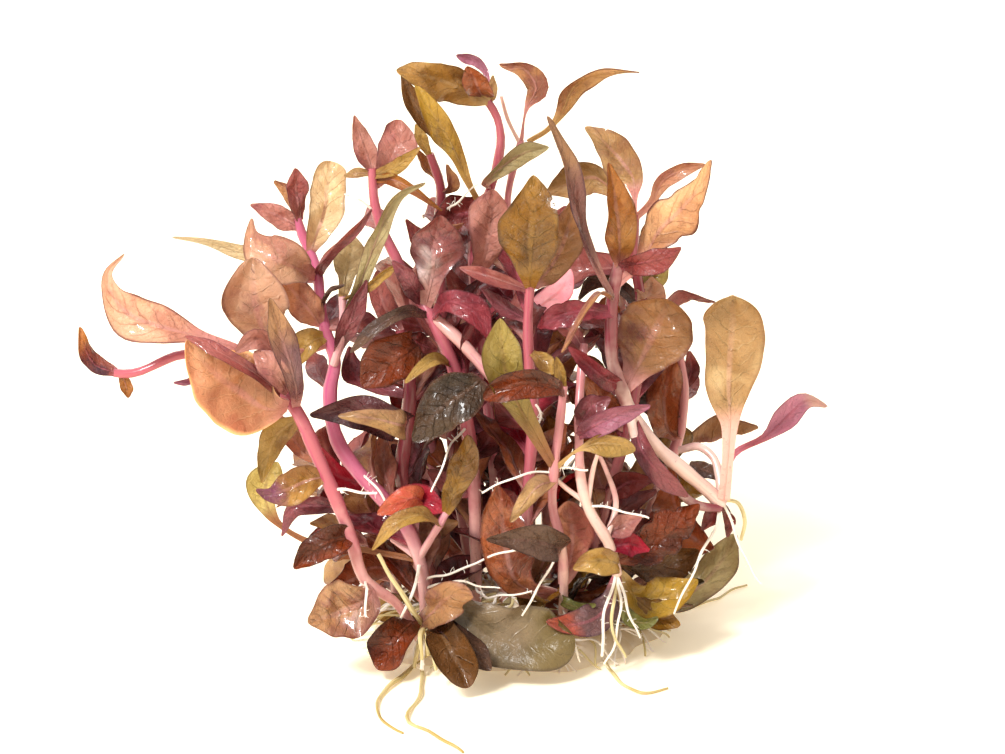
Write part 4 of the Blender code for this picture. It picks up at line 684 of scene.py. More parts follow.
def leaf_style(curl=None, fold=None, hook=None, wave=None, twist=None, notch=0.0, tip=0.97, roundness=0.92):
    """How a leaf's halves, edge and tip bend. Chance gives what isn't told, in a fixed order."""
    return SimpleNamespace(
        twist=math.radians(luck.uniform(-MOST_TWIST, MOST_TWIST) if twist is None else twist),
        curls=curl or (luck.uniform(-0.5, 1.1), luck.uniform(-0.5, 1.1)),
        folds=fold or (luck.uniform(-8, 34), luck.uniform(-8, 34)),
        hook=luck.uniform(-0.3, 0.4) if hook is None else hook,
        wave=luck.uniform(0.12, 0.4) if wave is None else wave,
        tone=luck.uniform(-1, 1),
        starts=[luck.uniform(0, math.tau) for _ in range(8)],
        notch=notch, tip=tip, roundness=roundness,
    )


print("a leaf twists by at most", MOST_TWIST, "degrees")

# %% The outline and the frame of a leaf
SOFTEN = np.hanning(11)[1:-1] / np.hanning(11).sum()


def outline(widths, widest, roundness):
    """Widths without corners, which end in a round tip: the lower the roundness, the blunter."""
    ends = np.pad(widths, len(SOFTEN) // 2, mode="edge")
    soft = np.convolve(ends, SOFTEN, mode="valid")
    most = soft[widest]
    soft[widest:] = most * (soft[widest:] / most) ** roundness
    return soft


def leaf_frame(stations, turn, facing, style):
    """A midrib's points, the ways up and sideways at each, the widths, the length and the widest sample."""
    line, along, widths, length = smooth_route(stations)
    widest = int(np.argmax(widths))
    widths = outline(widths, widest, style.roundness)
    upper = square_to(EYE - line[widest] if facing is None else facing, along[widest])
    lean = math.radians(turn)
    upper = upper * math.cos(lean) + np.cross(along[widest], upper) * math.sin(lean)
    uppers = carried(along, widest, upper)
    turned = style.twist * (np.arange(SAMPLES) - widest)[:, None] / SAMPLES
    uppers = uppers * np.cos(turned) + np.cross(along, uppers) * np.sin(turned)
    return line, uppers, np.cross(along, uppers), widths, length, widest


softened = outline(test[2], int(test[2].argmax()), 1.0)
print("widest place of the test curve once softened:", round(softened.max(), 2), "mm")

# %% The edge of a leaf
EDGE_SHARE = 0.03
LOPSIDED = 0.15
NICKS = 4.5


def edged(half, u, on_blade, blade, right, style):
    """Half widths with an uneven edge, one side fuller here and there, nicks and a round tip."""
    starts = style.starts
    edge = np.sin(u * 15 + starts[0] + 2.1 * right) + 0.6 * np.sin(u * 33 + starts[6] + 4 * right)
    lopsided = LOPSIDED * np.sin(on_blade * 4.4 + np.where(right, *starts[2:4]))
    half = half * (1 + blade * (EDGE_SHARE * edge + lopsided))
    nicks = np.maximum(0, np.sin(u * math.tau * NICKS + starts[1] + 3 * right)) ** 2
    half = half * (1 - style.notch * blade * nicks)
    return half * np.sqrt(1 - np.clip((u - style.tip) / (1.0005 - style.tip), 0, 1) ** 2)


print("an edge strays by up to", round(100 * (EDGE_SHARE * 1.6 + LOPSIDED)), "% of half the width")

# %% The curl, the fold and the tip
LEAST_BEND, MOST_BEND = 0.03, 1.35


def bent(half, v, on_blade, blade, length, style):
    """How far corners lie beside and above the midrib once both halves curl and fold and the tip hooks."""
    a, right = np.abs(v), v > 0
    bend = np.where(right, *style.curls) * (0.35 + 0.65 * np.sin(math.pi * np.clip(on_blade, 0, 1)))
    bend = np.where(np.abs(bend) < LEAST_BEND, LEAST_BEND, bend)
    bend = np.clip(bend, -MOST_BEND, MOST_BEND) * np.maximum(blade, 0.05)
    lateral = half * np.sin(bend * a) / np.sin(bend) * np.sign(v)
    rise = half * (1 - np.cos(bend * a)) / np.sin(bend)
    folded = np.radians(np.where(right, *style.folds)) * blade
    opened = lateral / np.cos(folded * 0.8)
    lateral, rise = opened * np.cos(folded), rise * np.cos(folded) + np.abs(opened) * np.sin(folded)
    rise += style.hook * length * 0.25 * np.clip((on_blade - 0.6) / 0.4, 0, 1) ** 2
    return lateral, rise


print("a half curls by at most", round(math.degrees(MOST_BEND)), "degrees")

# %% Waves, swellings and sunken veins
WAVE_LENGTH = 4.6
SWELLING = 0.085
PUFF, PUFF_WIDEST = 0.075, 2.2
VEIN_REACH, MIDRIB_REACH = 0.14, 0.12


def textured(rise, half, u, v, on_blade, blade, length, style):
    """The rise with a wavy edge, a blade that swells and veins that sink into it."""
    a, starts = np.abs(v), style.starts
    turns = max(2.0, length / WAVE_LENGTH)
    waves = np.sin(u * math.tau * turns / 2 + np.where(v > 0, *starts[2:4]))
    rise += half * style.wave * blade * a ** 2 * waves
    swell = np.sin(u * 13 + v * 2.2 + starts[4]) + np.sin(u * 7.5 - v * 3.1 + starts[5])
    swell += 0.5 * np.sin(u * 25 + v * 4 + starts[6]) + 0.5 * np.sin(u * 19 - v * 5 + starts[7])
    rise += half * SWELLING * blade * swell
    phase = on_blade * SIDE_VEINS + (v + 1) / 2 * VEIN_SHIFT - VEIN_SLANT * a + 0.45
    off_vein = 0.5 - np.abs(phase % 1 - 0.5)
    puff = np.minimum(half, PUFF_WIDEST) * PUFF * blade * (1 - a ** 3)
    rise -= puff * np.exp(-(off_vein / VEIN_REACH) ** 2)
    rise -= puff * 1.3 * np.exp(-(a / MIDRIB_REACH) ** 2)
    return rise


print("the tissue puffs up by up to", round(PUFF_WIDEST * PUFF, 2), "mm between the veins")

# %% One leaf
LEAF_EDGE = 0.09
RIB_DEPTH, RIB_REACH = 0.16, 0.32
TIP_DENSITY = 1.3
LEAF_IN_BOX, ROD_IN_BOX = 0.03, 0.02
UNDER_LIFT, FACE_LIFT = 0.03, 0.05


def bend_leaf(finish, turn, stations, blank=SMALL_LEAF, facing=None, **told):
    """One leaf along its stations, turned about its midrib. The rest says how it bends."""
    style = leaf_style(**told)
    line, uppers, sides, widths, length, widest = leaf_frame(stations, turn, facing, style)
    flat = blank_corners(blank)
    u, v, under = 1 - (1 - flat[:, 0]) ** TIP_DENSITY, flat[:, 1], flat[:, 2] < -0.5
    spot, rise_way, side_way, width = on_samples(u, line, uppers, sides, widths)
    ahead = soft_step(0.2, 0.6, width / widths.max())
    blade = np.where(u < widest / (SAMPLES - 1), ahead, 1.0)
    base = u[blade > 0.5].min()
    on_blade = (u - base) / (1 - base)
    half = edged(width / 2, u, on_blade, blade, v > 0, style)
    lateral, rise = bent(half, v, on_blade, blade, length, style)
    rise = textured(rise, half, u, v, on_blade, blade, length, style)

    stalk_depth = (1 - blade) * width * 0.75 * (1 - 0.75 * np.abs(v) ** 2)
    rib = RIB_DEPTH * blade * (1 - 0.75 * np.clip(on_blade, 0, 1)) * np.exp(-(v * half / RIB_REACH) ** 2)
    rise -= np.where(under, LEAF_EDGE + rib + stalk_depth, 0)
    rise += (1 - blade) * width * 0.3
    corners = spot + side_way * lateral[:, None] + rise_way * rise[:, None]
    corners[:, 2] = np.maximum(corners[:, 2], UNDER_LIFT + FACE_LIFT * (~under))
    corners = np.clip(corners, BOX_LOW + LEAF_IN_BOX, BOX_HIGH - LEAF_IN_BOX)
    uv = np.column_stack((on_blade, (v + 1) / 2))
    return new_piece(blank, corners, uv, (finish, UNDERSIDES.get(finish, "under_rose")), style.tone, blade)


print("a leaf is", LEAF_EDGE, "mm thick at its edge and", LEAF_EDGE + RIB_DEPTH, "mm at its rib")

# %% [markdown]
# ## Bending a rod into a stem or a root
# A stem is round, swells a little where leaves leave it, and is never quite even. A root is the same but
# far thinner, and it trembles from side to side as it grows.

# %% One stem or root
SWELL = 0.05
UNEVEN = np.array((0.31, 0.47, 0.83))


def bend_rod(finish, stations, blank, unrest=0.0):
    """One round stalk along its stations. unrest is how far, in millimetres, it strays from side to side."""
    line, along, widths, length = smooth_route(stations)
    starts = [luck.uniform(0, math.tau) for _ in range(4)]
    uppers = carried(along, 0, square_to(UNEVEN, along[0]))
    sides = np.cross(along, uppers)
    flat = blank_corners(blank)
    u = flat[:, 0]
    angle = np.arctan2(flat[:, 2], flat[:, 1])
    spot, rise_way, side_way, width = on_samples(u, line, uppers, sides, widths)
    mm_along = u * length
    ease = np.sin(math.pi * np.clip(u, 0, 1)) ** 0.5
    stray = unrest * ease * np.sin(mm_along * 0.9 + starts[0])
    lift = unrest * ease * np.sin(mm_along * 1.3 + starts[1])
    radius = width / 2 * (1 + SWELL * np.sin(mm_along * 1.1 + starts[2]) + SWELL / 2 * np.sin(mm_along * 2.7))
    radius = radius * np.hypot(flat[:, 1], flat[:, 2])
    corners = (
        spot
        + side_way * (np.cos(angle) * radius + stray)[:, None]
        + rise_way * (np.sin(angle) * radius + lift)[:, None]
    )
    corners = np.clip(corners, BOX_LOW + ROD_IN_BOX, BOX_HIGH - ROD_IN_BOX)
    uv = np.column_stack((mm_along / 10, (angle / math.tau) % 1))
    return new_piece(blank, corners, uv, (finish,), luck.uniform(-1, 1))


print("a stem swells by", round(SWELL * 150, 1), "% of its width")

# %% [markdown]
# ## Leaves that touch nothing
# The leaves that chance adds later must not cut through the ones that are drawn. So each leaf's blade is
# kept as a search tree, and a new leaf stays only if its own blade crosses none of them.

# %% Shells of leaves
SHELLS = []
BLADE_BEGINS = 0.6


def shell(piece):
    """A leaf's blade as a search tree, with its lowest and highest corner."""
    corners = blank_corners(piece)
    blade = np.empty(len(corners))
    piece.data.attributes["blade"].data.foreach_get("value", blade)
    faces = [face.vertices[:] for face in piece.data.polygons if blade[face.vertices[0]] > BLADE_BEGINS]
    return BVHTree.FromPolygons(corners.tolist(), faces), corners.min(0), corners.max(0)


def clear(tried, others):
    """Whether a leaf's shell crosses none of the others."""
    tree, low, high = tried
    return not any(
        (low < other_high).all() and (other_low < high).all() and tree.overlap(other)
        for other, other_low, other_high in others
    )


def keep(leaf):
    """Keeps a leaf only if it crosses no other. Says whether it was kept."""
    tried = shell(leaf)
    if clear(tried, SHELLS):
        SHELLS.append(tried)
        return True
    bpy.data.meshes.remove(leaf.data)
    return False


print("shells so far:", len(SHELLS))

# %% Joining pieces
def join(pieces, name, slot, *nodes):
    """Joins pieces into one that rides on the clump and stands for its plain solids."""
    bpy.ops.object.select_all(action="DESELECT")
    for piece in pieces:
        piece.select_set(True)
    bpy.context.view_layer.objects.active = pieces[0]
    if len(pieces) > 1:
        bpy.ops.object.join()
    whole = bpy.context.object
    whole.name = whole.data.name = name
    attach(whole, "root")
    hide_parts(*nodes)


print("plain solids to stand for:", len(frame["nodes"]))

# %% [markdown]
# ## One shoot
# A shoot is its stem, the side twigs, the small leaves and the roots that hang from it. All start on the
# middle line of what carries them, so that no leaf or root hangs free. The stem's line is kept, because
# leaves are added along it later, behind the ones that are drawn.

# %% Making one shoot
STEM_LINES = {}
ROOT_SHARE = 0.78
HAIRS, HAIR_REACH, HAIR_WIDTHS = 10, 0.6, (0.05, 0.045, 0.03)
ROOT_UNREST, OLD_UNREST, FLOOR_UNREST = 0.12, 0.08, 0.1


def thinner(stations):
    """The stations of a root, which is thinner than its plain solid."""
    return [(point, width * ROOT_SHARE) for point, width in stations]


def fuzz(root):
    """Short fine hairs that stand out from a root all along it."""
    line, along = smooth_route(root)[:2]
    hairs = []
    for _ in range(HAIRS):
        spot = luck.randrange(6, SAMPLES)
        way = square_to(np.array([luck.gauss(0, 1) for _ in range(3)]), along[spot])
        tip = line[spot] + (way + along[spot] * luck.uniform(-0.3, 0.6)) * HAIR_REACH * luck.uniform(0.5, 1.2)
        middle = (line[spot] + tip) / 2 + np.array([luck.uniform(-0.1, 0.1) for _ in range(3)])
        hairs.append(bend_rod("root_white", list(zip((line[spot], middle, tip), HAIR_WIDTHS)), HAIR_ROD))
    return hairs


def make_shoot(name, stem, twigs=(), leaves=(), roots=(), old_roots=(), floor_roots=(), colour="stem_pink"):
    """A stem with its twigs, small leaves and roots. A leaf is its finish, its turn and its stations."""
    stalks = [bend_rod(colour, stem, STEM_ROD)]
    stalks += [bend_rod(colour, seen(twig), TWIG_ROD) for twig in twigs]
    STEM_LINES[name] = smooth_route(stem)[0]
    join(stalks, name + "_stems", "stem", name)
    small = [bend_leaf(finish, turn, seen(stations)) for finish, turn, *stations in leaves]
    SHELLS.extend(shell(leaf) for leaf in small)
    join(small, name + "_leaves", "stem", name)
    threads = [bend_rod("root_white", thinner(seen(root)), ROOT_ROD, ROOT_UNREST) for root in roots]
    for root in roots:
        threads += fuzz(seen(root))
    threads += [bend_rod("root_gold", seen(root), ROOT_ROD, OLD_UNREST) for root in old_roots]
    for root in floor_roots:
        lying = thinner(on_floor(*station) for station in root)
        threads.append(bend_rod("root_gold", lying, ROOT_ROD, FLOOR_UNREST))
    if threads:
        join(threads, name + "_roots", "stem", name)
    print(name, "stem", len(stalks), "leaves", len(small), "roots", len(threads))


def large_leaf(name, slot, finish, turn, stations, **style):
    """One of the large leaves. It stands for the solid leaf of the same name."""
    leaf = bend_leaf(finish, turn, seen(stations), FINE_LEAF, **style)
    SHELLS.append(shell(leaf))
    join([leaf], name + "_blade", slot, name)


print("roots are", ROOT_SHARE, "of the width of their solids, with", HAIRS, "hairs each")

# %% [markdown]
# ## The long shoot on the left
# This shoot leans far out and is seen whole, from its node near the ground to the small head at its tip. Its
# leaves are large, bronze and peach, and old roots run from its foot over the surface.

# %% Shoot far left
make_shoot("shoot_far_left", [foot(-9.6, -7, 1)] + seen([
    (-12.5, 2.8, -9.5, 1), (-15.5, 5, -11, 1.2), (-17, 9.5, -11, 1.3), (-18.8, 14, -11, 1.4),
    (-20.3, 17.5, -11, 1.4), (-22.4, 22, -10.5, 1.4), (-24.5, 24.6, -8.5, 1.1), (-28, 26.3, -8, .9),
    (-33.3, 27.6, -8.5, .9), (-39.5, 25.6, -9, .9), (-40.6, 25.7, -9, .8),
]), leaves=[
    ("ember", 20, (-40.4, 25.7, -9, .8), (-42.5, 26.6, -9, 2.2), (-43.6, 28.6, -9, 1.6),
     (-43.8, 30.2, -9, .2)),
    ("amber", 0, (-39.8, 25.6, -9, .6), (-39.4, 24.4, -9, 1.4), (-39.1, 23.2, -9, .2)),
    ("mauve", 40, (-31, 27, -8, .5), (-32.4, 25, -7.5, 1), (-34.6, 24.6, -7.5, .2)),
    ("heather", 10, (-22.4, 22.4, -10.5, .7), (-22.5, 24.8, -15.2, 2.1), (-23.5, 28.4, -15.8, 2.8),
     (-25.3, 33.2, -15, .3)),
    ("blossom", 0, (-24.4, 24.6, -9, .7), (-24.6, 27.8, -13.8, 2.2), (-26.4, 29.2, -14.6, 2.2),
     (-28.6, 28, -15.2, .3)),
    ("rose", 0, (-24, 23.6, -11.6, .7), (-26.8, 25.9, -16.2, 1.4), (-30.2, 27.9, -17, 1.5),
     (-33.4, 29.4, -16, .2)),
    ("blossom", 0, (-23.4, 23.8, -11.4, .6), (-24, 25, -15.6, 2.1), (-25.2, 26.6, -16.2, 2.4),
     (-26.6, 27.8, -16, .3)),
    ("ochre", 0, (-22, 21.2, -10.5, .8), (-24.2, 19.6, -10.4, 2.6), (-25.2, 17.4, -10.4, 2.2),
     (-26, 14.6, -10.4, .2)),
    ("salmon", 0, (-20, 16.8, -11, .8), (-21.9, 18.2, -8.6, 2), (-23.4, 20, -8.2, 2), (-24.6, 21.8, -8, .2)),
    ("plum", 0, (-17.6, 12, -11, .7), (-19.8, 12.4, -8.4, 1.6), (-22.4, 12.2, -8, 1.6),
     (-23.8, 9.4, -8, .2)),
    ("tan", 0, (-17, 9.8, -11, .7), (-18.8, 10.6, -8.8, 1.8), (-21, 10.6, -8.6, .2)),
    ("garnet", 0, (-16.9, 9.2, -11, .9), (-18.6, 9, -12.4, 2.8), (-20.6, 8, -12.6, 3.2),
     (-22.5, 6.3, -12.6, .3)),
    ("garnet", 0, (-10.4, 1, -7.5, .9), (-12.2, -.6, -12, 3.4), (-13.4, -2.4, -12.4, 4),
     (-14.2, -3.8, -12.6, .4)),
    ("bronze", 0, (-9.9, .6, -7.5, .9), (-9, 1.6, -11.5, 3), (-7.6, 3, -13.5, 3.9), (-6, 3.7, -14, 2.6),
     (-4.7, 3.6, -14, .3)),
    ("smoke", 0, (-8.6, .3, -7.8, .7), (-6.2, -.6, -14, 2.2), (-4.4, -2.2, -15, 2.8), (-2.9, -4, -15.6, .3)),
], roots=[
    [(-15.5, 5, -11, .4), (-17, 3.5, -12, .35), (-20, 1.6, -12.5, .3)],
    [(-15.5, 5, -11, .4), (-15.4, 3.6, -14.4, .35), (-15.4, 1.3, -15, .3)],
    [(-18.7, 14, -11, .4), (-16.5, 13.9, -12.4, .35), (-14.3, 13.7, -12.6, .3)],
    [(-9.7, .2, -7.5, .5), (-9.6, -1.5, -10.5, .5), (-9.8, -4, -12.3, .5)],
    [(-9.9, .2, -7.5, .5), (-10.3, -1.6, -9.5, .5), (-10.5, -3.4, -11.5, .5)],
], old_roots=[
    [(-9.6, .2, -7.6, .5), (-9.3, -.9, -11.6, .5), (-9.2, -2.6, -12.6, .4)],
    [(-9.7, .2, -7.6, .5), (-10.1, -1.2, -11, .5), (-10.6, -3.8, -12.2, .35)],
    [(-9.5, .2, -7.6, .5), (-8.7, -1.4, -13.6, .5), (-8.4, -4, -15.6, .35)],
    [(-9.6, .2, -7.6, .5), (-9.9, -1, -12.4, .45), (-9.8, -3, -13.4, .35)],
    [(-14.2, 7.6, -8.8, .4), (-12.3, 4.3, -10, .5), (-10.3, 1.4, -9.6, .55), (-9.8, .4, -8, .6)],
], floor_roots=[
    [(-9.8, -4, .5), (-10, -6.5, .5), (-11, -8, .5), (-11.2, -9, .45), (-9.5, -10, .4), (-7, -11.3, .4),
     (-5.7, -12.2, .35)],
    [(-10.5, -3.4, .5), (-11.8, -4.7, .7), (-13.6, -6, .6), (-14.2, -8, .4), (-13.7, -9.2, .35),
     (-11.7, -10.3, .3)],
])
large_leaf("leaf_bronze_left", "leaf_bronze", "shell", -8, [
    (-23.4, 22.6, -11.5, 1.1), (-25.6, 22.2, -13.2, 4), (-28, 23.7, -14.2, 6.8), (-30, 25.2, -14.8, 6.6),
    (-31.9, 27.1, -15, 3.8), (-33.4, 29.2, -15, .4),
], curl=(-.3, .3), twist=10, fold=(4, 10), roundness=.8)
large_leaf("leaf_peach_tail", "leaf_peach", "peach", 12, [
    (-25.4, 25.4, -8.6, .9), (-28.2, 28, -11.2, .9), (-32.6, 29.4, -11.6, 1.5), (-36, 30.4, -11.6, 3.6),
    (-38.8, 31.4, -11, 4.2), (-40.6, 33.2, -10.2, 2.2), (-41.2, 35.6, -9.2, .8), (-39.5, 37.6, -8.4, .2),
])
large_leaf("leaf_tan_left", "leaf_tan", "thorn", 0, [
    (-19.3, 15.4, -11, .9), (-21.6, 14.8, -12.2, 2.8), (-23.4, 14, -12.4, 3), (-25, 13.6, -12.4, 1.4),
    (-26.4, 14, -12.4, .3),
])
large_leaf("leaf_glossy_wrinkled", "leaf_bronze", "toffee", 0, [
    (-14.9, 4.2, -11.2, 1), (-16, 2.6, -12.8, 4), (-17.6, 1.9, -13.2, 6), (-19.6, 1.2, -13.8, 5),
    (-21.2, .8, -14.4, .6),
])
large_leaf("leaf_brown_front", "leaf_mauve", "umber", 0, [
    (-8.6, .4, -8.4, .8), (-7.7, -.6, -13.4, 3.2), (-6.8, -2.2, -15.4, 4.6), (-5.8, -4.2, -16.6, 3.6),
    (-5.2, -5.7, -17, .5),
])

# %% [markdown]
# ## The upright shoot on the left
# Behind the long shoot a second one rises straight. It carries a red-brown head, an arched bronze leaf and a
# round salmon leaf, and a branch with an olive leaf low down.

# %% Shoot left
make_shoot("shoot_left", [foot(-9.4, -3, 1.1)] + seen([
    (-10.1, 7.2, -6.5, 1.3), (-11.2, 10, -7, 1.4), (-13.8, 13.2, -7.5, 1.5), (-16.2, 15.8, -7, 1.5),
    (-18.2, 18.8, -5.5, 1.5), (-19, 24, -4, 1.4), (-18.5, 27, -3.5, 1.3), (-19.5, 30, -3, 1.2),
    (-20, 33, -2.5, 1.1), (-20.3, 36, -1.5, 1), (-22, 40.2, 0, .9), (-22.2, 41.2, 0, .7),
]), colour="stem_magenta", twigs=[
    [(-10.1, 7.2, -6.5, .8), (-8.2, 10.3, -9, .8), (-7.3, 11.8, -9.6, .7)],
    [(-10.1, 7.2, -6.5, .8), (-12.8, 9.2, -5.2, .7)],
    [(-18.6, 26.6, -4, .9), (-17.7, 30, -5.4, .9), (-17.8, 33.4, -5.4, .7)],
], leaves=[
    ("blossom", 0, (-22, 40.3, 0, .8), (-23.8, 41.2, .2, 2), (-25.6, 42, .2, 1.6), (-27, 42.5, .2, .2)),
    ("rose", 20, (-22.1, 41, 0, .8), (-22.2, 43, 0, 2.2), (-22.4, 44.8, 0, 2), (-22.5, 46.2, 0, .2)),
    ("bronze", 0, (-22.2, 41, 0, .6), (-22.9, 43.6, 1.4, 1.5), (-24.6, 44.9, 1.8, .3)),
    ("rose", 40, (-20.3, 35.6, -2, .6), (-19.6, 37.2, -4.6, 1.3), (-17, 39.6, -5.6, 1.3),
     (-14.7, 41.9, -5.6, .2)),
    ("sand", 0, (-17.8, 33.2, -5.4, .7), (-17.4, 35.5, -3.6, 2.2), (-17, 38, -3.4, 3),
     (-16.9, 39.6, -3.2, .5)),
    ("plum", 30, (-18.2, 27.8, -4.6, .8), (-17.2, 30.4, -6.6, 2), (-16.2, 32.8, -7, 1.6),
     (-15, 34.6, -7, .2)),
    ("smoke", 60, (-20.1, 31.5, -3, .5), (-19.1, 33.9, -5, .8), (-17.6, 34.6, -7, .2)),
    ("copper", 0, (-20, 30.6, -3, .6), (-21.3, 32.2, -4.6, 3.2), (-22.8, 34, -4.8, 3.6),
     (-24.4, 36, -4.8, .3)),
    ("ochre", 0, (-19.4, 29.4, -3.2, .6), (-20.9, 28.8, -4.8, 2.5), (-22.4, 27.6, -5, 2.6),
     (-24, 25.4, -5, .3)),
    ("sand", 10, (-20.4, 36.4, -1.4, .6), (-25, 37.2, -1, 1.5), (-28.2, 37.9, -1, 1.3),
     (-31.4, 38.8, -1, .6), (-34.8, 39.3, -1, .15)),
    ("sage", 30, (-17.8, 30.6, -5.4, .6), (-15.9, 34.8, -6.4, 1.3), (-14.2, 39.4, -6.6, 1.5),
     (-12.2, 43.4, -6.6, 1.3), (-9.5, 44.8, -6.6, .2)),
    ("rose", 0, (-19, 24.2, -4, .7), (-20.2, 26, -.4, 2.4), (-20.6, 27.4, 2.6, .3)),
    ("plum", 0, (-19.6, 30.4, -3, .7), (-18.4, 32.2, .6, 2.4), (-17.8, 33.6, 3.4, .3)),
    ("rose", 20, (-20.2, 35, -2, .7), (-21.8, 35.8, 1.4, 2.2), (-23, 36.4, 4, .3)),
    ("ochre", 0, (-8, 10.6, -9.2, .6), (-10.2, 11.5, -12, 1.6), (-12.4, 10.7, -12.8, 1.6),
     (-14.8, 8, -12.8, .2)),
    ("ochre", 40, (-17.7, 33, -5.4, .5), (-15.2, 34.3, -6.2, .9), (-13.6, 35.8, -6.4, .9),
     (-12.3, 36.8, -6.4, .2)),
    ("crimson", 0, (-15, 14.6, -7, .7), (-16.2, 14.8, -3, 2.4), (-18.2, 15.4, -2.4, 2.2),
     (-20, 18.2, -2.2, .4)),
], roots=[
    [(-9.8, 5, -5.6, .35), (-6.3, 5.9, -9.5, .3), (-3, 7.3, -11.4, .3), (.2, 8.2, -12.2, .25)],
    [(-9.6, 4.2, -5.4, .35), (-5.8, 4.8, -9.6, .3), (-3.8, 4.4, -11.4, .25), (-2, 4.2, -11.8, .2)],
    [(-10, 6.9, -6.5, .5), (-11, 3, -9.4, .4), (-13, -1, -9.8, .3)],
    [(-16, 15.7, -7, .4), (-14.6, 14.6, -9, .3), (-13.2, 12.2, -10, .3)],
])
large_leaf("leaf_tan_folded", "leaf_tan", "straw", 15, [
    (-21, 37.8, -.8, .8), (-20.2, 39.8, -1, 2.5), (-19.6, 41.8, .2, 3.3), (-19.3, 44.2, 1.4, 3.3),
    (-19.1, 46.7, 2.8, 3),
], tip=.9, roundness=1, fold=(22, 16), twist=0)
large_leaf("leaf_bronze_arch", "leaf_bronze", "fawn", 0, [
    (-20.6, 35.4, -1.8, .8), (-22.4, 36.2, -5.6, 2.8), (-24.2, 37, -6.8, 4.2), (-25.9, 37.9, -6.4, 3.2),
    (-26.8, 39.4, -5.4, 1.3), (-26.9, 41.2, -4.6, .2),
])
large_leaf("leaf_salmon_round", "leaf_rose", "fawn", 0, [
    (-19.3, 28.6, -3.4, .7), (-22, 27.8, -5, .8), (-24.8, 28.8, -6.4, 2.4), (-26.2, 31.4, -7.4, 5),
    (-26.6, 34, -8, 5.8), (-26.8, 36.8, -8.2, .8),
], roundness=.7)
large_leaf("leaf_olive_brown", "leaf_olive", "olive", 0, [
    (-7.3, 11.8, -9.6, .8), (-6.6, 14, -11, 2.4), (-5.7, 16.4, -11.2, 3.2), (-5.3, 18, -11, 2),
    (-5.2, 19.4, -11, .3),
])

# %% [markdown]
# ## The inner shoot on the left
# This short shoot is mostly hidden. A folded plum leaf with a golden inside and a dark leaf show in front.

# %% Shoot inner left
make_shoot("shoot_inner_left", [foot(-7.4, .8, 1.1)] + seen([
    (-10.4, 9.5, -3, 1.2), (-11.8, 15, -3.6, 1.4), (-11.2, 21, -3.8, 1.4), (-11, 24.5, -3.6, 1.3),
    (-12, 30, -2.6, 1),
]), colour="stem_rose", leaves=[
    ("scarlet", 0, (-11.5, 13.2, -3.5, .8), (-9.6, 12.9, -8.4, 1.6), (-10.8, 13.2, -10.6, 2.7),
     (-12.4, 12.6, -11, 2), (-14.3, 11.5, -11.2, .3)),
    ("crimson", 0, (-11.5, 13.4, -3.5, .8), (-11.2, 13.4, -7.6, 2), (-9.4, 12.9, -9, 2.9),
     (-7.4, 12, -9.6, .4)),
    ("tan", 0, (-11.6, 20.5, -8.4, .6), (-12, 20.5, -10, 3), (-13.4, 20.9, -10.6, 2.6),
     (-15.6, 21.3, -10.8, 1.6), (-18.2, 21.4, -10.8, .2)),
    ("plum", 20, (-11, 23.4, -3.6, .8), (-14.4, 24.4, -2.6, 2), (-16.6, 25.6, -1.6, 2.6),
     (-17.2, 28.4, -1.2, .3)),
    ("rose", 0, (-11.9, 29.8, -2.6, .7), (-13.2, 31.6, -2, 2.4), (-14, 33.8, -1.6, 2),
     (-14.2, 36, -1.4, .3)),
    ("maroon", 0, (-11.8, 29.6, -2.6, .7), (-10, 28.6, -1.6, 2.2), (-8.4, 28, -.8, .3)),
    ("maroon", 0, (-11.2, 21, -3.8, .7), (-9.6, 22.6, -.6, 2.4), (-8.8, 24, 2, .3)),
    ("bronze", 0, (-10.2, 9, -2.8, .7), (-8, 10.2, -3.2, 2.4), (-6.2, 10.8, -3.4, .3)),
])
large_leaf("leaf_plum_folded", "leaf_plum", "night", 0, [
    (-11.4, 20.4, -3.8, 1), (-13.2, 20.6, -8.2, 3.6), (-15.4, 21.5, -8.8, 3.6), (-18.2, 21.8, -8.8, 2),
    (-21, 21.5, -8.6, .3),
])
large_leaf("leaf_red_brown", "leaf_maroon", "garnet", 0, [
    (-11.6, 28.4, -3, .9), (-10.6, 28.4, -7.4, 3.6), (-12.3, 27.2, -8.2, 5.2), (-14.2, 25.8, -8.2, 3.8),
    (-15.8, 24.4, -8.2, .5),
])

# %% [markdown]
# ## The upper left shoot
# The stem weaves up through the middle and ends in a salmon head. The near-black glossy leaf in the middle of
# the clump hangs from its side branch.

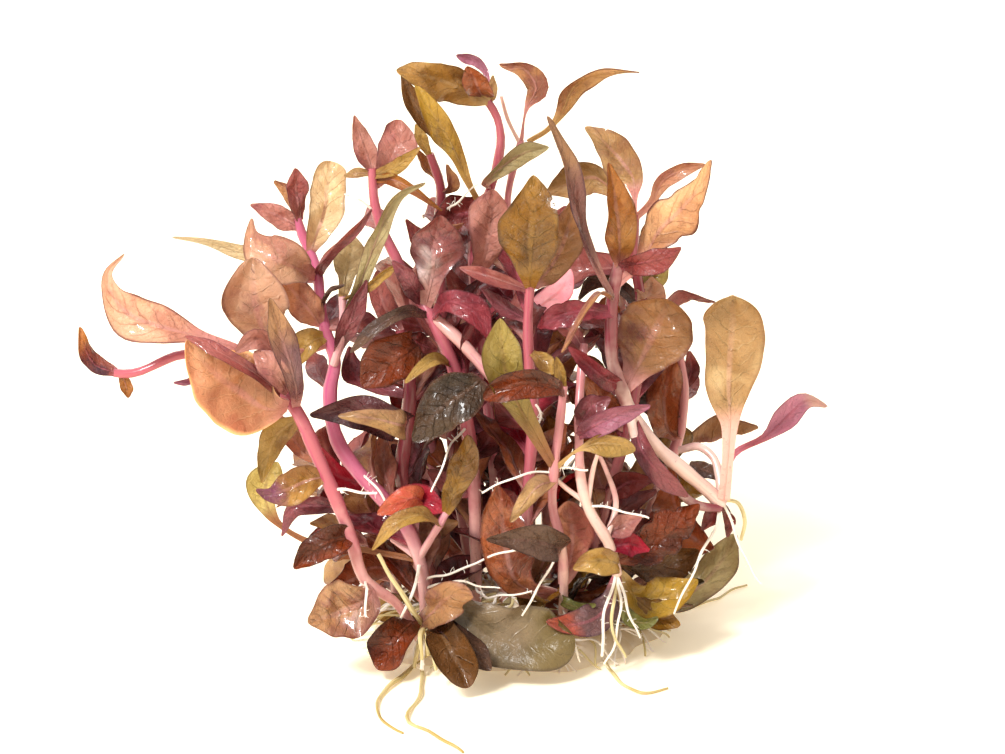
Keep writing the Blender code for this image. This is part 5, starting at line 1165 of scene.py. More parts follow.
# %% Shoot upper left
make_shoot("shoot_upper_left", [foot(-4.4, -2.2, 1.2)] + seen([
    (-4.5, 12, -4, 1.3), (-5.2, 20, -4.8, 1.4), (-6.7, 26.4, -5.4, 1.4), (-9, 31.5, -5, 1.3),
    (-10, 33, -4.2, 1.2), (-11.8, 36, -3, 1.1), (-12.8, 38, -2.5, 1.1), (-13.8, 40, -2, 1),
    (-14.5, 42.5, -1.5, 1), (-14.8, 46.2, -1, .8),
]), twigs=[
    [(-9, 31.5, -5, 1.1), (-6.6, 29.5, -6.4, 1.2), (-4.2, 26.9, -7.2, 1.2), (-1.9, 24.2, -8.4, .9)],
], leaves=[
    ("blossom", 0, (-14.8, 46, -1, .7), (-15.5, 48, -1, 2), (-16.1, 49.7, -1, 1.7), (-16.6, 51.5, -1, .2)),
    ("tan", 0, (-14.8, 45.6, -1, .5), (-16.2, 45.7, -1, 1), (-17.6, 45.4, -1, .2)),
    ("amber", 0, (-14.6, 45, -1, .6), (-12.6, 45, -2.4, 1.2), (-11, 44.2, -3, .9), (-7.8, 41.8, -3, .2)),
    ("ochre", 0, (-14.7, 45.4, -1, .6), (-12, 46.6, -2.6, 1.6), (-10, 48.2, -3, .2)),
    ("plum", 0, (-9.8, 32.8, -4.4, .7), (-10.8, 34.4, -7, 2), (-11.7, 35.8, -7.4, 1.8),
     (-12.8, 36.8, -7.4, .2)),
    ("smoke", 0, (-9.1, 31.6, -5, .7), (-12, 31.6, -9.4, 1.3), (-14.8, 29.9, -10.4, 1.3),
     (-17, 27.7, -10.6, .2)),
    ("wine", 0, (-8.8, 31.2, -5, .7), (-6.8, 32.8, -8.6, 2.2), (-4.6, 31.8, -9.4, 2.8),
     (-3.2, 29.4, -9.6, .5)),
    ("ochre", 0, (-6.8, 26.6, -5.4, .6), (-9, 26.9, -9.4, 1.3), (-11.5, 24.7, -10.6, .3)),
    ("rose", 0, (-13.6, 39.6, -2, .7), (-14.6, 41.2, 1.4, 2.2), (-15.2, 42.6, 4, .3)),
    ("maroon", 0, (-4.9, 17, -4.5, .7), (-3.4, 18.6, -3, 2.4), (-2.2, 20.4, -2.4, .3)),
    ("maroon", 0, (-4.6, 13.5, -4.2, .7), (-7, 14.6, -3.4, 2.6), (-9.2, 16, -3, .3)),
], roots=[
    [(-5.3, 20.4, -4.8, .4), (-6.9, 18.4, -8.6, .3), (-8.9, 13.8, -11.6, .25)],
    [(-4.5, 4.4, -2.8, .35), (-3.2, 3.3, -9.5, .3), (-1, 3.5, -12.4, .25), (1.2, 3.9, -12.6, .2)],
    [(-14.4, 41.9, -1.6, .3), (-16, 42.9, -2.2, .3), (-17.6, 43.6, -2.2, .2)],
])
large_leaf("leaf_rose_behind", "leaf_rose", "blossom", -12, [
    (-14.4, 44.4, -1, .8), (-13, 46.6, 1.6, 3), (-12.3, 48.2, 3, 4), (-12, 49.8, 4.2, 2.6),
    (-12, 50.8, 5, .4),
])
# Its white sheen is painted into the finish.
large_leaf("leaf_maroon_white", "leaf_rose", "maroon_painted_sheen", 0, [
    (-9.4, 32.2, -4.6, .9), (-8.7, 35.8, -6, 2.8), (-8.5, 38, -5.8, 5), (-8.2, 40, -5.4, 3.8),
    (-8, 41.6, -5.2, .5),
])
large_leaf("leaf_dark_glossy", "leaf_dark", "dark", 14, [
    (-6.2, 25, -5.2, .9), (-4.4, 24.6, -9.6, 2.6), (-6.2, 23.4, -10.6, 5.6), (-8.2, 21.9, -10.8, 5.2),
    (-9.4, 20.2, -10.8, 2.8), (-10.4, 18.8, -10.8, .3),
], curl=(-.4, -.2), wave=.2, roundness=.85)

# %% [markdown]
# ## The tallest shoot
# The tallest shoot ends in a big olive-bronze leaf that lies over, with a golden leaf below it.

# %% Shoot top
make_shoot("shoot_top", [foot(-1.5, .2, 1.1)] + seen([
    (-2.8, 18, .5, 1.1), (-3.8, 28, 1.5, 1.1), (-4.7, 36, 2, 1), (-4.5, 40, 2, 1), (-3, 44, 1.5, .9),
    (-2.2, 47, .5, .9), (-1.9, 49, 0, .9), (-2.2, 51, 0, .8), (-3.7, 53.6, -.5, .8),
]), leaves=[
    ("umber", 0, (-6.8, 48, -4.4, .5), (-9, 50.4, -4.8, 1.4), (-10.6, 52.8, -4.8, 1.7),
     (-11.9, 55.6, -5.2, .2)),
    ("rust", 0, (-3.7, 53.2, -.4, .7), (-4.3, 54.4, -3.2, 2.3), (-4.7, 55.4, -3.8, 2.1),
     (-5.3, 56.5, -3.8, .3)),
    ("mauve", 0, (-3.4, 53.4, -.4, .5), (-3.5, 55.9, 1, .7), (-4.3, 56.8, 1.2, 1.2), (-5.5, 57.2, 1.2, 1.1),
     (-6.4, 57.5, 1.2, .2)),
    ("tan", 0, (-3.2, 52.8, -.2, .6), (-2.8, 54, -.4, 1), (-2.7, 55.5, -.4, .2)),
    ("sage", 15, (-3.1, 44.2, 1.4, .5), (-3.4, 44.8, -1.4, .8), (-1.8, 46.3, -2.6, 1.6),
     (.4, 47.7, -2.6, 2.1), (2.9, 48.1, -2.6, .2)),
    ("rose", 0, (-4.2, 32, 1.8, .7), (-6, 34, .6, 2), (-7.4, 36.4, 0, .3)),
    ("rose", 0, (-4.6, 37.5, 2, .7), (-5.4, 38.8, 5, 2.4), (-5.6, 40.2, 8, .3)),
    ("plum", 0, (-4.2, 30.4, 1.8, .7), (-2.8, 31.8, 5, 2.2), (-2.4, 33.2, 7.6, .3)),
    ("maroon", 0, (-2.6, 15.5, .4, .7), (-.8, 16.8, -1.4, 2.6), (.8, 17.4, -2.6, .3)),
])
large_leaf("leaf_olive_top", "leaf_olive", "honey", -10, [
    (-3.2, 53, -.4, .9), (-5.4, 54, -2.2, 3), (-7.6, 54.8, -3.6, 4.2), (-9.8, 55.4, -4.8, 3),
    (-12.1, 55.8, -5.8, .3),
], curl=(.3, .2), twist=5, roundness=.95, fold=(16, 4))
large_leaf("leaf_golden_top", "leaf_gold", "gold", 0, [
    (-3.8, 42.2, 1.4, .6), (-5.2, 44.9, -2.4, .7), (-6.4, 47.6, -4.2, 1.6), (-7.8, 50.2, -5.6, 2.6),
    (-8.9, 52, -6.4, 2), (-9.9, 53.9, -7.2, .3),
])
large_leaf("leaf_rose_middle", "leaf_rose", "blossom", 0, [
    (-4.6, 35.6, 1.6, .9), (-3.4, 38, -1.6, 2.8), (-2.9, 40.6, -1.6, 4.4), (-2.8, 42.6, -1.4, 3.6),
    (-2.7, 44.2, -1.2, .4),
])

# %% [markdown]
# ## The thin shoot beside it
# A thin shoot stands close behind, with small brown leaves held up along it.

# %% Shoot top left
make_shoot("shoot_top_left", [foot(-4.4, 4.2, 1.1)] + seen([
    (-6.4, 15, 3.5, 1.1), (-7.2, 26, 4.5, 1.1), (-7.9, 36, 4.5, 1.1), (-8, 41.5, 4, 1.1), (-7.9, 44, 3.5, 1),
    (-9, 47.6, 3, .8),
]), colour="stem_rose", leaves=[
    ("bronze", 60, (-7.9, 43.6, 3.6, .6), (-6.9, 44.2, 3.2, 1.2), (-7.4, 46.6, 3, .2)),
    ("amber", 40, (-8.4, 45.2, 3.4, .6), (-9.6, 46.4, 4.2, 1.2), (-10.4, 48.2, 4.4, .2)),
    ("ochre", 0, (-9, 47.4, 3, .6), (-9.8, 49, 2.6, 1.3), (-10.4, 50.6, 2.4, .2)),
    ("rose", 0, (-7.9, 37, 4.5, .7), (-9.8, 38.8, 4, 2.2), (-11.4, 41, 3.8, .3)),
    ("maroon", 0, (-7.5, 30, 4.5, .7), (-10.4, 30.4, 4.6, 2.6), (-13.2, 31.4, 4.8, .3)),
    ("rose", 0, (-8, 40.4, 4.1, .7), (-8.6, 41.8, 7.4, 2.2), (-9, 43.2, 10, .3)),
    ("plum", 0, (-7.4, 28.4, 4.5, .7), (-6, 30, 8, 2.4), (-5.4, 31.4, 10.8, .3)),
], roots=[
    [(-7.9, 41.4, 4, .3), (-6.6, 42.6, 0, .3), (-4.2, 44.6, -2.5, .25)],
])

# %% [markdown]
# ## The thin shoot right of the top
# This one is the palest and thinnest, and it ends in leaves on long bare stalks.

# %% Shoot top right
make_shoot("shoot_top_right", [foot(1, 3.6, 1.1)] + seen([
    (1, 16, 3.6, 1), (.4, 28, 4, .9), (-.8, 38, 3.6, .8), (-1.2, 43.5, 3, .7), (-.7, 46, 3, .7),
    (.1, 49, 3, .7),
]), colour="stem_pale", twigs=[
    [(0, 48.6, 3, .4), (-1.2, 51, 2.4, .4), (-1.9, 53.4, 1.6, .3)],
], leaves=[
    ("bronze", 0, (.1, 48.8, 3, .4), (.7, 52.3, 3.6, .5), (1.6, 54.2, 4, 2.2), (.4, 56, 4, 1.6),
     (-2.1, 56.3, 4, .2)),
    ("blush", 0, (.2, 31, 4, .6), (2.4, 32.6, -1, 2), (4.2, 34.2, -3, 2.8), (5.4, 36.4, -3.4, .3)),
    ("rose", 0, (-.6, 37, 3.6, .6), (1.4, 38.6, 4.2, 2.2), (3.4, 40.6, 4.4, 2), (4.6, 42.4, 4.4, .3)),
    ("rose", 0, (-.9, 40, 3.4, .7), (-1.4, 41.4, 6.4, 2), (-1.6, 42.6, 9, .3)),
    ("maroon", 0, (.8, 22, 3.8, .7), (2.4, 23.4, 6, 2.4), (3.6, 24.8, 7.4, .3)),
])
large_leaf("leaf_peach_top", "leaf_peach", "apricot", 30, [
    (.9, 48.9, 2.6, .5), (3.2, 50.5, -.6, .5), (4.4, 52.2, -1.6, 1.2), (5.2, 54, -2.4, 2),
    (7, 55.1, -3.6, 2), (9.4, 55.8, -4.8, 1.4), (11.9, 56.6, -6, .2),
])

# %% [markdown]
# ## The centre shoot
# The glossy olive leaf in the middle stands on this shoot, with rose leaves behind it.

# %% Shoot centre
make_shoot("shoot_centre", [foot(.4, -4.4, 1.2)] + seen([
    (.8, 14, -6.5, 1.2), (1.3, 22, -7.2, 1.2), (.9, 27, -8, 1.1), (.8, 31, -8.6, 1), (1, 34.6, -9, .9),
]), leaves=[
    ("rose", 0, (.9, 34, -9, .7), (-2, 35, -9, 1.5), (-4.2, 35.7, -8.6, 1.2), (-6.1, 36.3, -8.2, .2)),
    ("plum", 0, (.8, 31, -8.6, .7), (-1.4, 32.2, -6.4, 1.6), (-3.8, 34, -5.4, .3)),
    ("ochre", 0, (.9, 28, -8.2, .6), (2.6, 26.6, -9.6, 1.6), (3.4, 25.6, -10, .3)),
    ("maroon", 0, (1.2, 20, -7, .7), (-.8, 21.2, -5.4, 2.4), (-2.6, 23.2, -4.6, .3)),
    ("rust", 0, (1.1, 17, -6.8, .7), (3, 18.6, -5, 2.6), (4.6, 20.6, -4, .3)),
    ("maroon", 0, (.8, 12, -6.2, .7), (-1, 12.8, -4.6, 2.4), (-2.8, 14.4, -3.4, .3)),
], roots=[
    [(1.3, 22.8, -7.2, .3), (2.2, 21.2, -9.6, .3), (1.4, 20, -10.4, .25)],
])
large_leaf("leaf_olive_centre", "leaf_olive", "olive", 0, [
    (1, 34.4, -9, .9), (1, 36.2, -11.2, 2.4), (1.1, 38.6, -11.8, 5.2), (1.3, 40.8, -11.8, 6),
    (1.4, 42.8, -11.5, 4.4), (1.3, 45.4, -11.2, .3),
], curl=(.35, .2), twist=-8, wave=.12, fold=(12, 6), hook=-.1)
large_leaf("leaf_rose_centre", "leaf_rose", "bronze", 0, [
    (1.4, 34.4, -8.8, .9), (3.2, 36.4, -7.4, 3.4), (4.4, 38.8, -6.8, 4.2), (5, 41.1, -6.4, 2.6),
    (5.2, 43, -6.2, .3),
])

# %% [markdown]
# ## The front centre shoot
# This shoot stands in front, and its leaves fill the lower middle. A broad grey leaf lies at their foot.

# %% Shoot front centre
make_shoot("shoot_front_centre", [foot(4.2, -6.2, 1)] + seen([
    (4, 9.5, -10.5, .9), (3.3, 12, -11.5, .9), (3.4, 16.2, -12, 1), (3.9, 20, -12, .9),
    (4.4, 24.4, -11.4, .8),
]), colour="stem_pale", leaves=[
    ("ochre", 20, (3.5, 16.2, -12, .5), (6.5, 18.3, -13.6, .7), (8.4, 18.6, -13.8, 2.4),
     (10.2, 18.4, -13.6, 2.2), (11.6, 17.8, -13.4, .3)),
    ("tan", 0, (3.4, 15, -12, .7), (1.6, 14.2, -14, 1.8), (.2, 12.4, -14.6, 1.6), (-1, 10.8, -14.8, .3)),
    ("garnet", 0, (4.3, 23.6, -11.6, .6), (3, 24.4, -15.4, 1.9), (.4, 24.7, -16.4, 3.1),
     (-1.8, 24, -16.6, 2.7), (-3.6, 23.2, -16.2, .4)),
    ("ochre", 0, (4.4, 24.2, -11.4, .5), (4, 25.8, -12.2, 1.3), (3.6, 27.4, -12.4, .2)),
    ("moss", 20, (4.3, 3.2, -8, .6), (4.4, 2.8, -9.6, 1.1), (6, 2.2, -10.2, 1.3), (7.6, 2.6, -10.2, .3)),
], roots=[
    [(3.4, 15.8, -12, .3), (0, 15.5, -13.2, .3), (-3.8, 13.7, -13.6, .25)],
    [(3.4, 16.2, -12, .3), (6.8, 16, -12.6, .25)],
    [(4.1, 8.4, -9.8, .3), (1.6, 3.8, -12.6, .3), (.2, 1.4, -13.8, .25)],
    [(4.3, 2, -7.8, .3), (5.3, -.8, -12.2, .3), (5.6, -2, -12.6, .3), (6, -3.2, -12.6, .2)],
])
large_leaf("leaf_yellow_olive", "leaf_ochre", "yellow", 0, [
    (3.2, 16.6, -12.2, .8), (1.4, 19.8, -13.8, 1.5), (-.3, 22.8, -14.4, 2.2), (-1.4, 25.8, -14.8, 3.4),
    (-1.8, 28.2, -14.8, 4), (-2, 31, -14.6, .4),
])
large_leaf("leaf_dark_front", "leaf_dark", "smoke", 0, [
    (4, 8, -9.6, .8), (3.2, 8.4, -14.2, 2.6), (1.4, 8.9, -15.4, 3.4), (-.9, 9, -16.4, 2.2),
    (-3.2, 9.1, -17.4, .3),
])
large_leaf("leaf_salmon_veined", "leaf_crimson", "salmon", 0, [
    (4.3, 4.6, -8, .9), (5.2, 8, -8, 3.4), (5.2, 10, -8.2, 4.6), (5, 11.8, -8.2, 3), (4.8, 13.2, -8.2, .4),
])
large_leaf("leaf_orange_upright", "leaf_bronze", "rust", 0, [
    (3.8, 3.6, -7.2, .9), (-.4, 4.8, -10, 3.2), (-1.4, 8, -10.6, 5.2), (-1.8, 11.4, -10.8, 4),
    (-2.2, 14.2, -10.8, .4),
])
large_leaf("leaf_mauve_floor", "leaf_mauve", "slate", 0, [
    (-4.5, 4.6, -2.6, .8), (-6.4, 2.6, -11.6, 1.8), (-4.4, .8, -13, 5), (-1.6, -.9, -13.4, 6.3),
    (1.4, -1.4, -13.4, 6.3), (4, -1.3, -13.2, 5.2), (5.5, -.9, -13, 1),
], curl=(.5, .7), twist=0, wave=.08, fold=(4, 8), hook=0)

# %% [markdown]
# ## The front right shoot
# Low on the right a forked stem ends in a bunch of hanging white roots.

# %% Shoot front right
make_shoot("shoot_front_right", seen([
    (9.7, 5.6, -9.4, 1), (9, 8.3, -10.4, 1.1), (6.6, 12.8, -11, 1.1), (6.1, 15, -11, 1), (5.9, 19, -10, .9),
    (6, 24, -7.6, .9), (6.4, 28.6, -5.4, .8),
]), colour="stem_pale", twigs=[
    [(6.8, 13, -11, .6), (7.3, 16, -10.4, .5), (8.2, 18.8, -11.6, .4)],
    [(6.4, 12.9, -11, .6), (4.6, 14.2, -11, .5), (3.5, 15.2, -11.8, .4)],
    [(8.6, 9.2, -10.6, .7), (9.6, 12.6, -9, .6), (8.6, 16, -8.4, .5), (7.2, 18.9, -9, .4)],
], leaves=[
    ("mauve", 20, (5.9, 19.4, -10, .7), (7.8, 20.6, -13.6, 2), (10.3, 21.8, -14.2, 2.2),
     (13, 22.7, -14.2, .3)),
    ("plum", 0, (5.9, 20.4, -10, .7), (7.4, 22.4, -10.6, 2.4), (9, 23.2, -10.8, .4)),
    ("rose", 0, (6.4, 28, -5.4, .6), (5.2, 29.8, -5, 1.8), (3.4, 30.8, -4.8, .3)),
    ("ochre", 0, (9.5, 6.4, -9.6, .7), (9.2, 6.8, -13.8, 2.2), (8, 7, -14.4, 2.8), (5.3, 6.1, -14.4, .3)),
    ("crimson", 0, (9, 8.2, -10.4, .7), (10.8, 8.6, -9.8, 2.4), (12.9, 8, -9.4, .3)),
    ("blossom", 0, (8.4, 9.6, -10.4, .7), (10.2, 10.4, -9.6, 2.2), (12.2, 11.2, -9.2, .3)),
    ("moss", 0, (9.7, 5.4, -9.2, .5), (10.2, 2.6, -10.2, .6), (11.2, 1, -10.8, 1.7), (12.6, .7, -10.8, 1.3),
     (13.8, 1.2, -10.8, .3)),
    ("umber", 0, (9.6, 7, -9, .7), (12, 6.2, -4, 2.6), (14.4, 6.4, -3, 3.6), (16.6, 7.4, -2.6, 2.4),
     (17.8, 8.2, -2.4, .4)),
    ("olive", 0, (9.6, 5.6, -9.2, .5), (10.6, 4, -7.4, 1.2), (13.4, 1.6, -8.4, 3), (16, .6, -8.6, .4)),
], roots=[
    [(9.7, 5.7, -9.4, .4), (10, 2, -11.6, .35), (9.3, -1.8, -12, .3), (8.4, -3.4, -12.2, .25)],
    [(9.7, 5.7, -9.4, .4), (10.7, 2.4, -11.4, .35), (12, -.8, -11.6, .25)],
    [(9.6, 5.8, -9.4, .4), (8.4, 1, -12.6, .4), (8.2, -2.6, -12.2, .4)],
    [(6.9, 12.4, -11, .3), (10, 12, -12.6, .3), (12.9, 11.2, -12.8, .25)],
], old_roots=[
    [(9.8, 5.4, -9.4, .35), (9.2, 1.5, -12, .35), (9.5, -.7, -12.2, .3), (10.6, -2.7, -12, .25)],
], floor_roots=[
    [(8.2, -2.6, .4), (9.5, -4.6, .45), (10.5, -5.5, .45), (12, -6.3, .4), (14.8, -5.8, .3)],
    [(14.5, 1.4, .4), (17, 2.3, .35), (19.3, 3, .35), (21, 3.9, .3), (22.7, 4.5, .25)],
])
large_leaf("leaf_plum_tip", "leaf_mauve", "dusk", 0, [
    (9.7, 5.4, -9, .8), (9.1, 2.8, -9.8, 2.8), (7.2, 1, -11.2, 3.8), (5, .5, -12, 2.2), (2.8, .8, -14, .3),
])
large_leaf("leaf_ragged_brown", "leaf_maroon", "garnet", 0, [
    (9.5, 7, -9.6, .8), (12.4, 8, -8, 3), (14.6, 9.6, -8, 4), (16.5, 11, -7.8, 2.8),
    (18.2, 12.5, -7.6, .3),
], notch=.22, wave=.3)
large_leaf("leaf_golden_right", "leaf_gold", "gold", 0, [
    (9.9, 5.8, -9, .8), (12.2, 3, -7.6, 3.2), (14.4, 3.1, -7.6, 4), (16.3, 4, -7.2, 2.8),
    (17.8, 5, -7, .4),
])

# %% [markdown]
# ## The shoot that bends out to the right
# Its lowest node stands clear of the clump, where a loop, two bent stems, the spoon-shaped leaf and two long
# roots meet.

# %% Shoot right
make_shoot("shoot_right", seen([
    (20.2, 12.6, -3, 1.3), (19.4, 13.4, -3.2, 1.4), (16.5, 15.9, -4.2, 1.4), (13.2, 18.8, -5.2, 1.4),
    (11.2, 21.6, -5.8, 1.4), (10, 24.5, -6.2, 1.4), (9.2, 27, -6.4, 1.3), (9.1, 29, -6.4, 1.3),
    (9.3, 33.5, -6.4, 1.3), (9.9, 36.6, -6.6, 1.2),
]), colour="stem_flush", twigs=[
    [(10.9, 22.4, -6, .9), (11.6, 19, -7.6, .9), (14.5, 15.4, -6.4, .9), (18, 12.4, -4.6, .9),
     (20, 12.2, -3.4, .9)],
    [(20.1, 12.8, -3, .9), (19.9, 15.5, -1.4, .9), (19.3, 17.3, -.4, .8), (18, 18.3, .6, .8),
     (16, 18, 2, .8)],
], leaves=[
    ("orchid", 0, (20.2, 13, -3, .7), (21.4, 17.6, -.8, .7), (24.5, 19.3, 0, .8), (26.6, 21.2, 1, 2.2),
     (28.6, 22.9, 2, 1.8), (30.9, 22.4, 3, .3)),
    ("maroon", 10, (9.9, 36.3, -6.6, .7), (12.2, 36.7, -10.6, 1.9), (13.8, 37, -11.2, 2.3),
     (16.2, 38.3, -11.4, .2)),
    ("bronze", 50, (9.3, 33.2, -6.4, .6), (7.6, 33.6, -10.4, 1), (6, 31, -12.2, 1.2),
     (4.5, 27.6, -12.8, .2)),
    ("wine", 0, (9.9, 24.6, -6.2, .7), (8.4, 25.2, -9.4, 1.8), (6.5, 26.8, -10.4, 1.8),
     (4.7, 28.4, -10.6, .3)),
    ("plum", 0, (11.3, 21, -5.8, .8), (12.4, 17.6, -9.6, 2), (14.4, 15.2, -9.8, 2), (17, 13.2, -9.4, .3)),
    ("maroon", 0, (20, 12.6, -3, .6), (19.1, 11.4, -1.8, 1.6), (18.2, 10, -1.4, .3)),
    ("maroon", 0, (20.2, 12.6, -3, .6), (20.9, 11, -1.6, 1.2), (20.8, 9.2, -1.4, .2)),
    ("smoke", 0, (19.8, 15.2, -1.6, .6), (18.6, 16, -.4, 1.8), (17, 16.6, .2, .4)),
], roots=[
    [(20, 12.4, -3, .45), (19.6, 10.5, -4.6, .4), (18.4, 8, -6.6, .35), (17, 5.2, -9.6, .3),
     (15.4, 1.6, -11, .25)],
    [(20.4, 12.5, -3, .4), (21.5, 10, -3.6, .35), (22.3, 7.5, -4, .3), (24.1, 4.6, -4.2, .25)],
], old_roots=[
    [(20.5, 13, -2.8, .4), (21.8, 12.8, -2, .4), (22.4, 11, -1.6, .4), (22.1, 9, -1.4, .35)],
])
large_leaf("leaf_spoon", "leaf_gold", "spoon", 0, [
    (20.4, 13.2, -3.6, 1.2), (20.9, 18.8, -4.4, 1.3), (21, 21, -4.4, 1.8), (20.9, 23.4, -4.8, 4),
    (20.9, 26.2, -5.2, 5.4), (21.1, 29.4, -6.4, 5.7), (21.3, 31.6, -7.4, 5.7), (21.3, 33.8, -8.6, 5.6),
], tip=.86, roundness=1, curl=(.15, .3), twist=0, wave=.06, fold=(4, 6), hook=.1)
large_leaf("leaf_bronze_right", "leaf_bronze", "bronze", 0, [
    (10.5, 24, -5.6, 1.1), (11.8, 26.4, -4.1, 3.4), (13, 28.8, -3.7, 6.2), (13.9, 30.8, -3.4, 6.8),
    (14.5, 32.2, -3.3, 5.8), (14.9, 33.2, -3.2, .6),
], curl=(.2, .35), twist=0, wave=.14, roundness=.6)
large_leaf("leaf_maroon_wide", "leaf_maroon", "wine", 0, [
    (9.1, 31.6, -6.6, .9), (6.6, 32, -8.4, 2.2), (4.3, 31.5, -8.8, 3), (2.3, 30.6, -9, 1.4),
    (1.6, 30.2, -9.8, .3),
], notch=.15, wave=.3)
large_leaf("leaf_long_folded", "leaf_plum", "heather", 50, [
    (9.3, 33.2, -7, .8), (7.4, 36.8, -9.2, .9), (6.3, 39.5, -9.8, 1.6), (5.3, 43.5, -10.6, 2.1),
    (4.4, 47.5, -11, 1.6), (3.7, 51.2, -11.4, .3),
])
large_leaf("leaf_amber_upright", "leaf_gold", "amber", 20, [
    (9.9, 36.6, -6.8, .9), (9.9, 38.6, -8.4, 2.4), (9.8, 41, -9.4, 3.5), (9.4, 44, -10, 2.4),
    (9, 46.6, -10.4, .3),
], fold=(26, 22), roundness=1.05, twist=0)
large_leaf("leaf_peach_veined", "leaf_peach", "biscuit", -14, [
    (9.7, 34.6, -6.4, .9), (12.2, 36.9, -7.4, 1.1), (13.4, 39.2, -8.4, 3.4), (15.4, 41.4, -9.4, 4.8),
    (17.6, 43.9, -10.2, 2.8), (19.1, 47, -11, .3),
], notch=.16, curl=(.5, -.3), wave=.3, roundness=1)

# %% [markdown]
# ## The upper right shoot
# Two tan leaves and a small bronze head show above the leaves in front.

# %% Shoot upper right
make_shoot("shoot_upper_right", [foot(5.6, 1.6, 1.1)] + seen([
    (9, 14, 1, 1.1), (11.6, 24, 1, 1.1), (12.2, 32, 1, 1.1), (11.4, 38, .6, 1), (11.6, 41.6, .4, .8),
]), colour="stem_rose", leaves=[
    ("copper", 0, (11.6, 41.2, .4, .6), (13.2, 42.8, -1, .8), (14.4, 45, -2, 1.6), (16.4, 46, -2.4, 1.5),
     (18.5, 46.5, -2.6, .2)),
    ("yellow", 0, (12, 33.6, 1, .7), (13.4, 35.4, 2.6, 2.4), (14.8, 37, 3, .3)),
    ("smoke", 0, (12.2, 32, 1, .6), (10, 34.4, 4, 1.6), (7.6, 34.8, 5, 1.6), (6, 33, 5.4, .3)),
    ("rust", 0, (10.6, 20, 1, .7), (8.2, 22.6, .4, 2.6), (6.4, 25.4, 0, .4)),
    ("maroon", 0, (8.8, 13.4, 1, .7), (11, 14.8, -.6, 2.8), (13.4, 15, -1.4, .4)),
    ("rose", 0, (11.7, 36.5, .7, .7), (12.4, 38.2, 4, 2.4), (12.6, 39.6, 7, .3)),
    ("maroon", 0, (12.1, 30, 1, .7), (10.8, 30.8, 4.6, 2.4), (10.2, 31.4, 7.4, .3)),
])
large_leaf("leaf_bronze_upper_right", "leaf_tan", "tan", 0, [
    (11.5, 40.6, .4, .5), (11.5, 43.4, 1.2, .6), (11.3, 45.2, 1.8, 2.4), (10.4, 46.6, 2.4, 4),
    (9, 48.2, 3.4, 3.2), (7.8, 49.3, 4.2, 1.8), (6.6, 50, 4.8, .3),
])
large_leaf("leaf_tan_behind", "leaf_tan", "tan", 0, [
    (11.2, 40, .8, .7), (9.2, 44, 5.4, 1.6), (7.4, 45.2, 6.8, 3), (4.8, 44.6, 8.2, 2.6),
    (2.4, 43.6, 9.2, .3),
])

# %% [markdown]
# ## The shoot behind on the right
# Only a red strip and the edges of a few dark leaves show between the others.

# %% Shoot right behind
make_shoot("shoot_right_behind", [foot(9.4, 3.6, 1.1)] + seen([
    (13.4, 13, 6, 1.1), (16, 20, 7, 1.1), (16.4, 24, 7, 1), (15.8, 28.5, 7, .8),
]), colour="stem_pale", leaves=[
    ("rust", 0, (15.8, 19.2, 6.8, .7), (14.8, 20, 4.4, 2.6), (14.4, 22.6, 3.8, 3.2), (14.8, 25.4, 3.8, 2.8),
     (15.1, 28.2, 4, .3)),
    ("maroon", 0, (16.4, 24, 7, .6), (17.1, 25.8, 7.6, 1.6), (16.9, 27.9, 7.6, .3)),
    ("smoke", 0, (16.2, 21.6, 7, .7), (13.2, 22.6, 6.4, 2.2), (11.4, 24.6, 6.2, 2.2), (11, 26.4, 6.2, .3)),
    ("bronze", 0, (15.9, 28.2, 7, .6), (14.2, 29.6, 7.6, 2.2), (12.6, 31.4, 8, .3)),
    ("rose", 0, (16.4, 23, 7, .7), (17, 24.4, 10.4, 2.2), (17.2, 26, 13, .3)),
])
large_leaf("leaf_olive_right", "leaf_olive", "sage", 0, [
    (9.8, 5, 3.6, .8), (15.4, 2.8, 2.6, 2.4), (18, 4.4, 2.6, 3.6), (20.2, 7, 3, 3.2), (21.6, 9.6, 3.2, .4),
])
large_leaf("leaf_ochre_left", "leaf_ochre", "yellow", 0, [
    (-10, 7, -5.8, .6), (-16.5, 8.2, -4, .6), (-21.5, 9, -4, .6), (-24.6, 11.2, -4, .9),
    (-25.5, 13.2, -4, 2.8), (-25.3, 15, -4, 3.8), (-24.4, 16.4, -4, .6),
])

# %% [markdown]
# ## The shoots behind
# Nothing shows what stands behind the middle, so seven more shoots of the same kind grow there. Their pairs
# of leaves cross at right angles, as on every plant of this kind. They follow the rule of their plain
# solids: a stem that bends to its head, with four pairs at even places.

# %% Shoots at the back
BACK_LEAF_LENGTH = 9.0
BACK_LEAF_WIDTH = 4.2
BACK_PAIR_PLACES = (0.38, 0.58, 0.78, 0.97)
BACK_LEAF_RISE = math.radians(42)
BACK_STEM_WIDTH = 1.1
ABOVE_MAT, IN_MAT = 0.7, 2.0
PAIR_STEP = 0.35
STALK_WIDTH, TIP_WIDTH = 0.7, 0.3


def free_leaf(finish, start, level, rise, length, width, steep=BACK_LEAF_RISE):
    """A leaf that leaves its stem steeply and droops towards the level at its tip."""
    out = level * math.cos(steep) + rise * math.sin(steep)
    droop = level * math.cos(steep / 2) + rise * math.sin(steep / 2)
    middle = start + out * length / 2
    stations = [
        (start, STALK_WIDTH), (start + out * length * 0.22, width / 2), (middle, width),
        (middle + droop * length / 2, TIP_WIDTH),
    ]
    return bend_leaf(finish, 0, stations, facing=rise - level * 0.4)


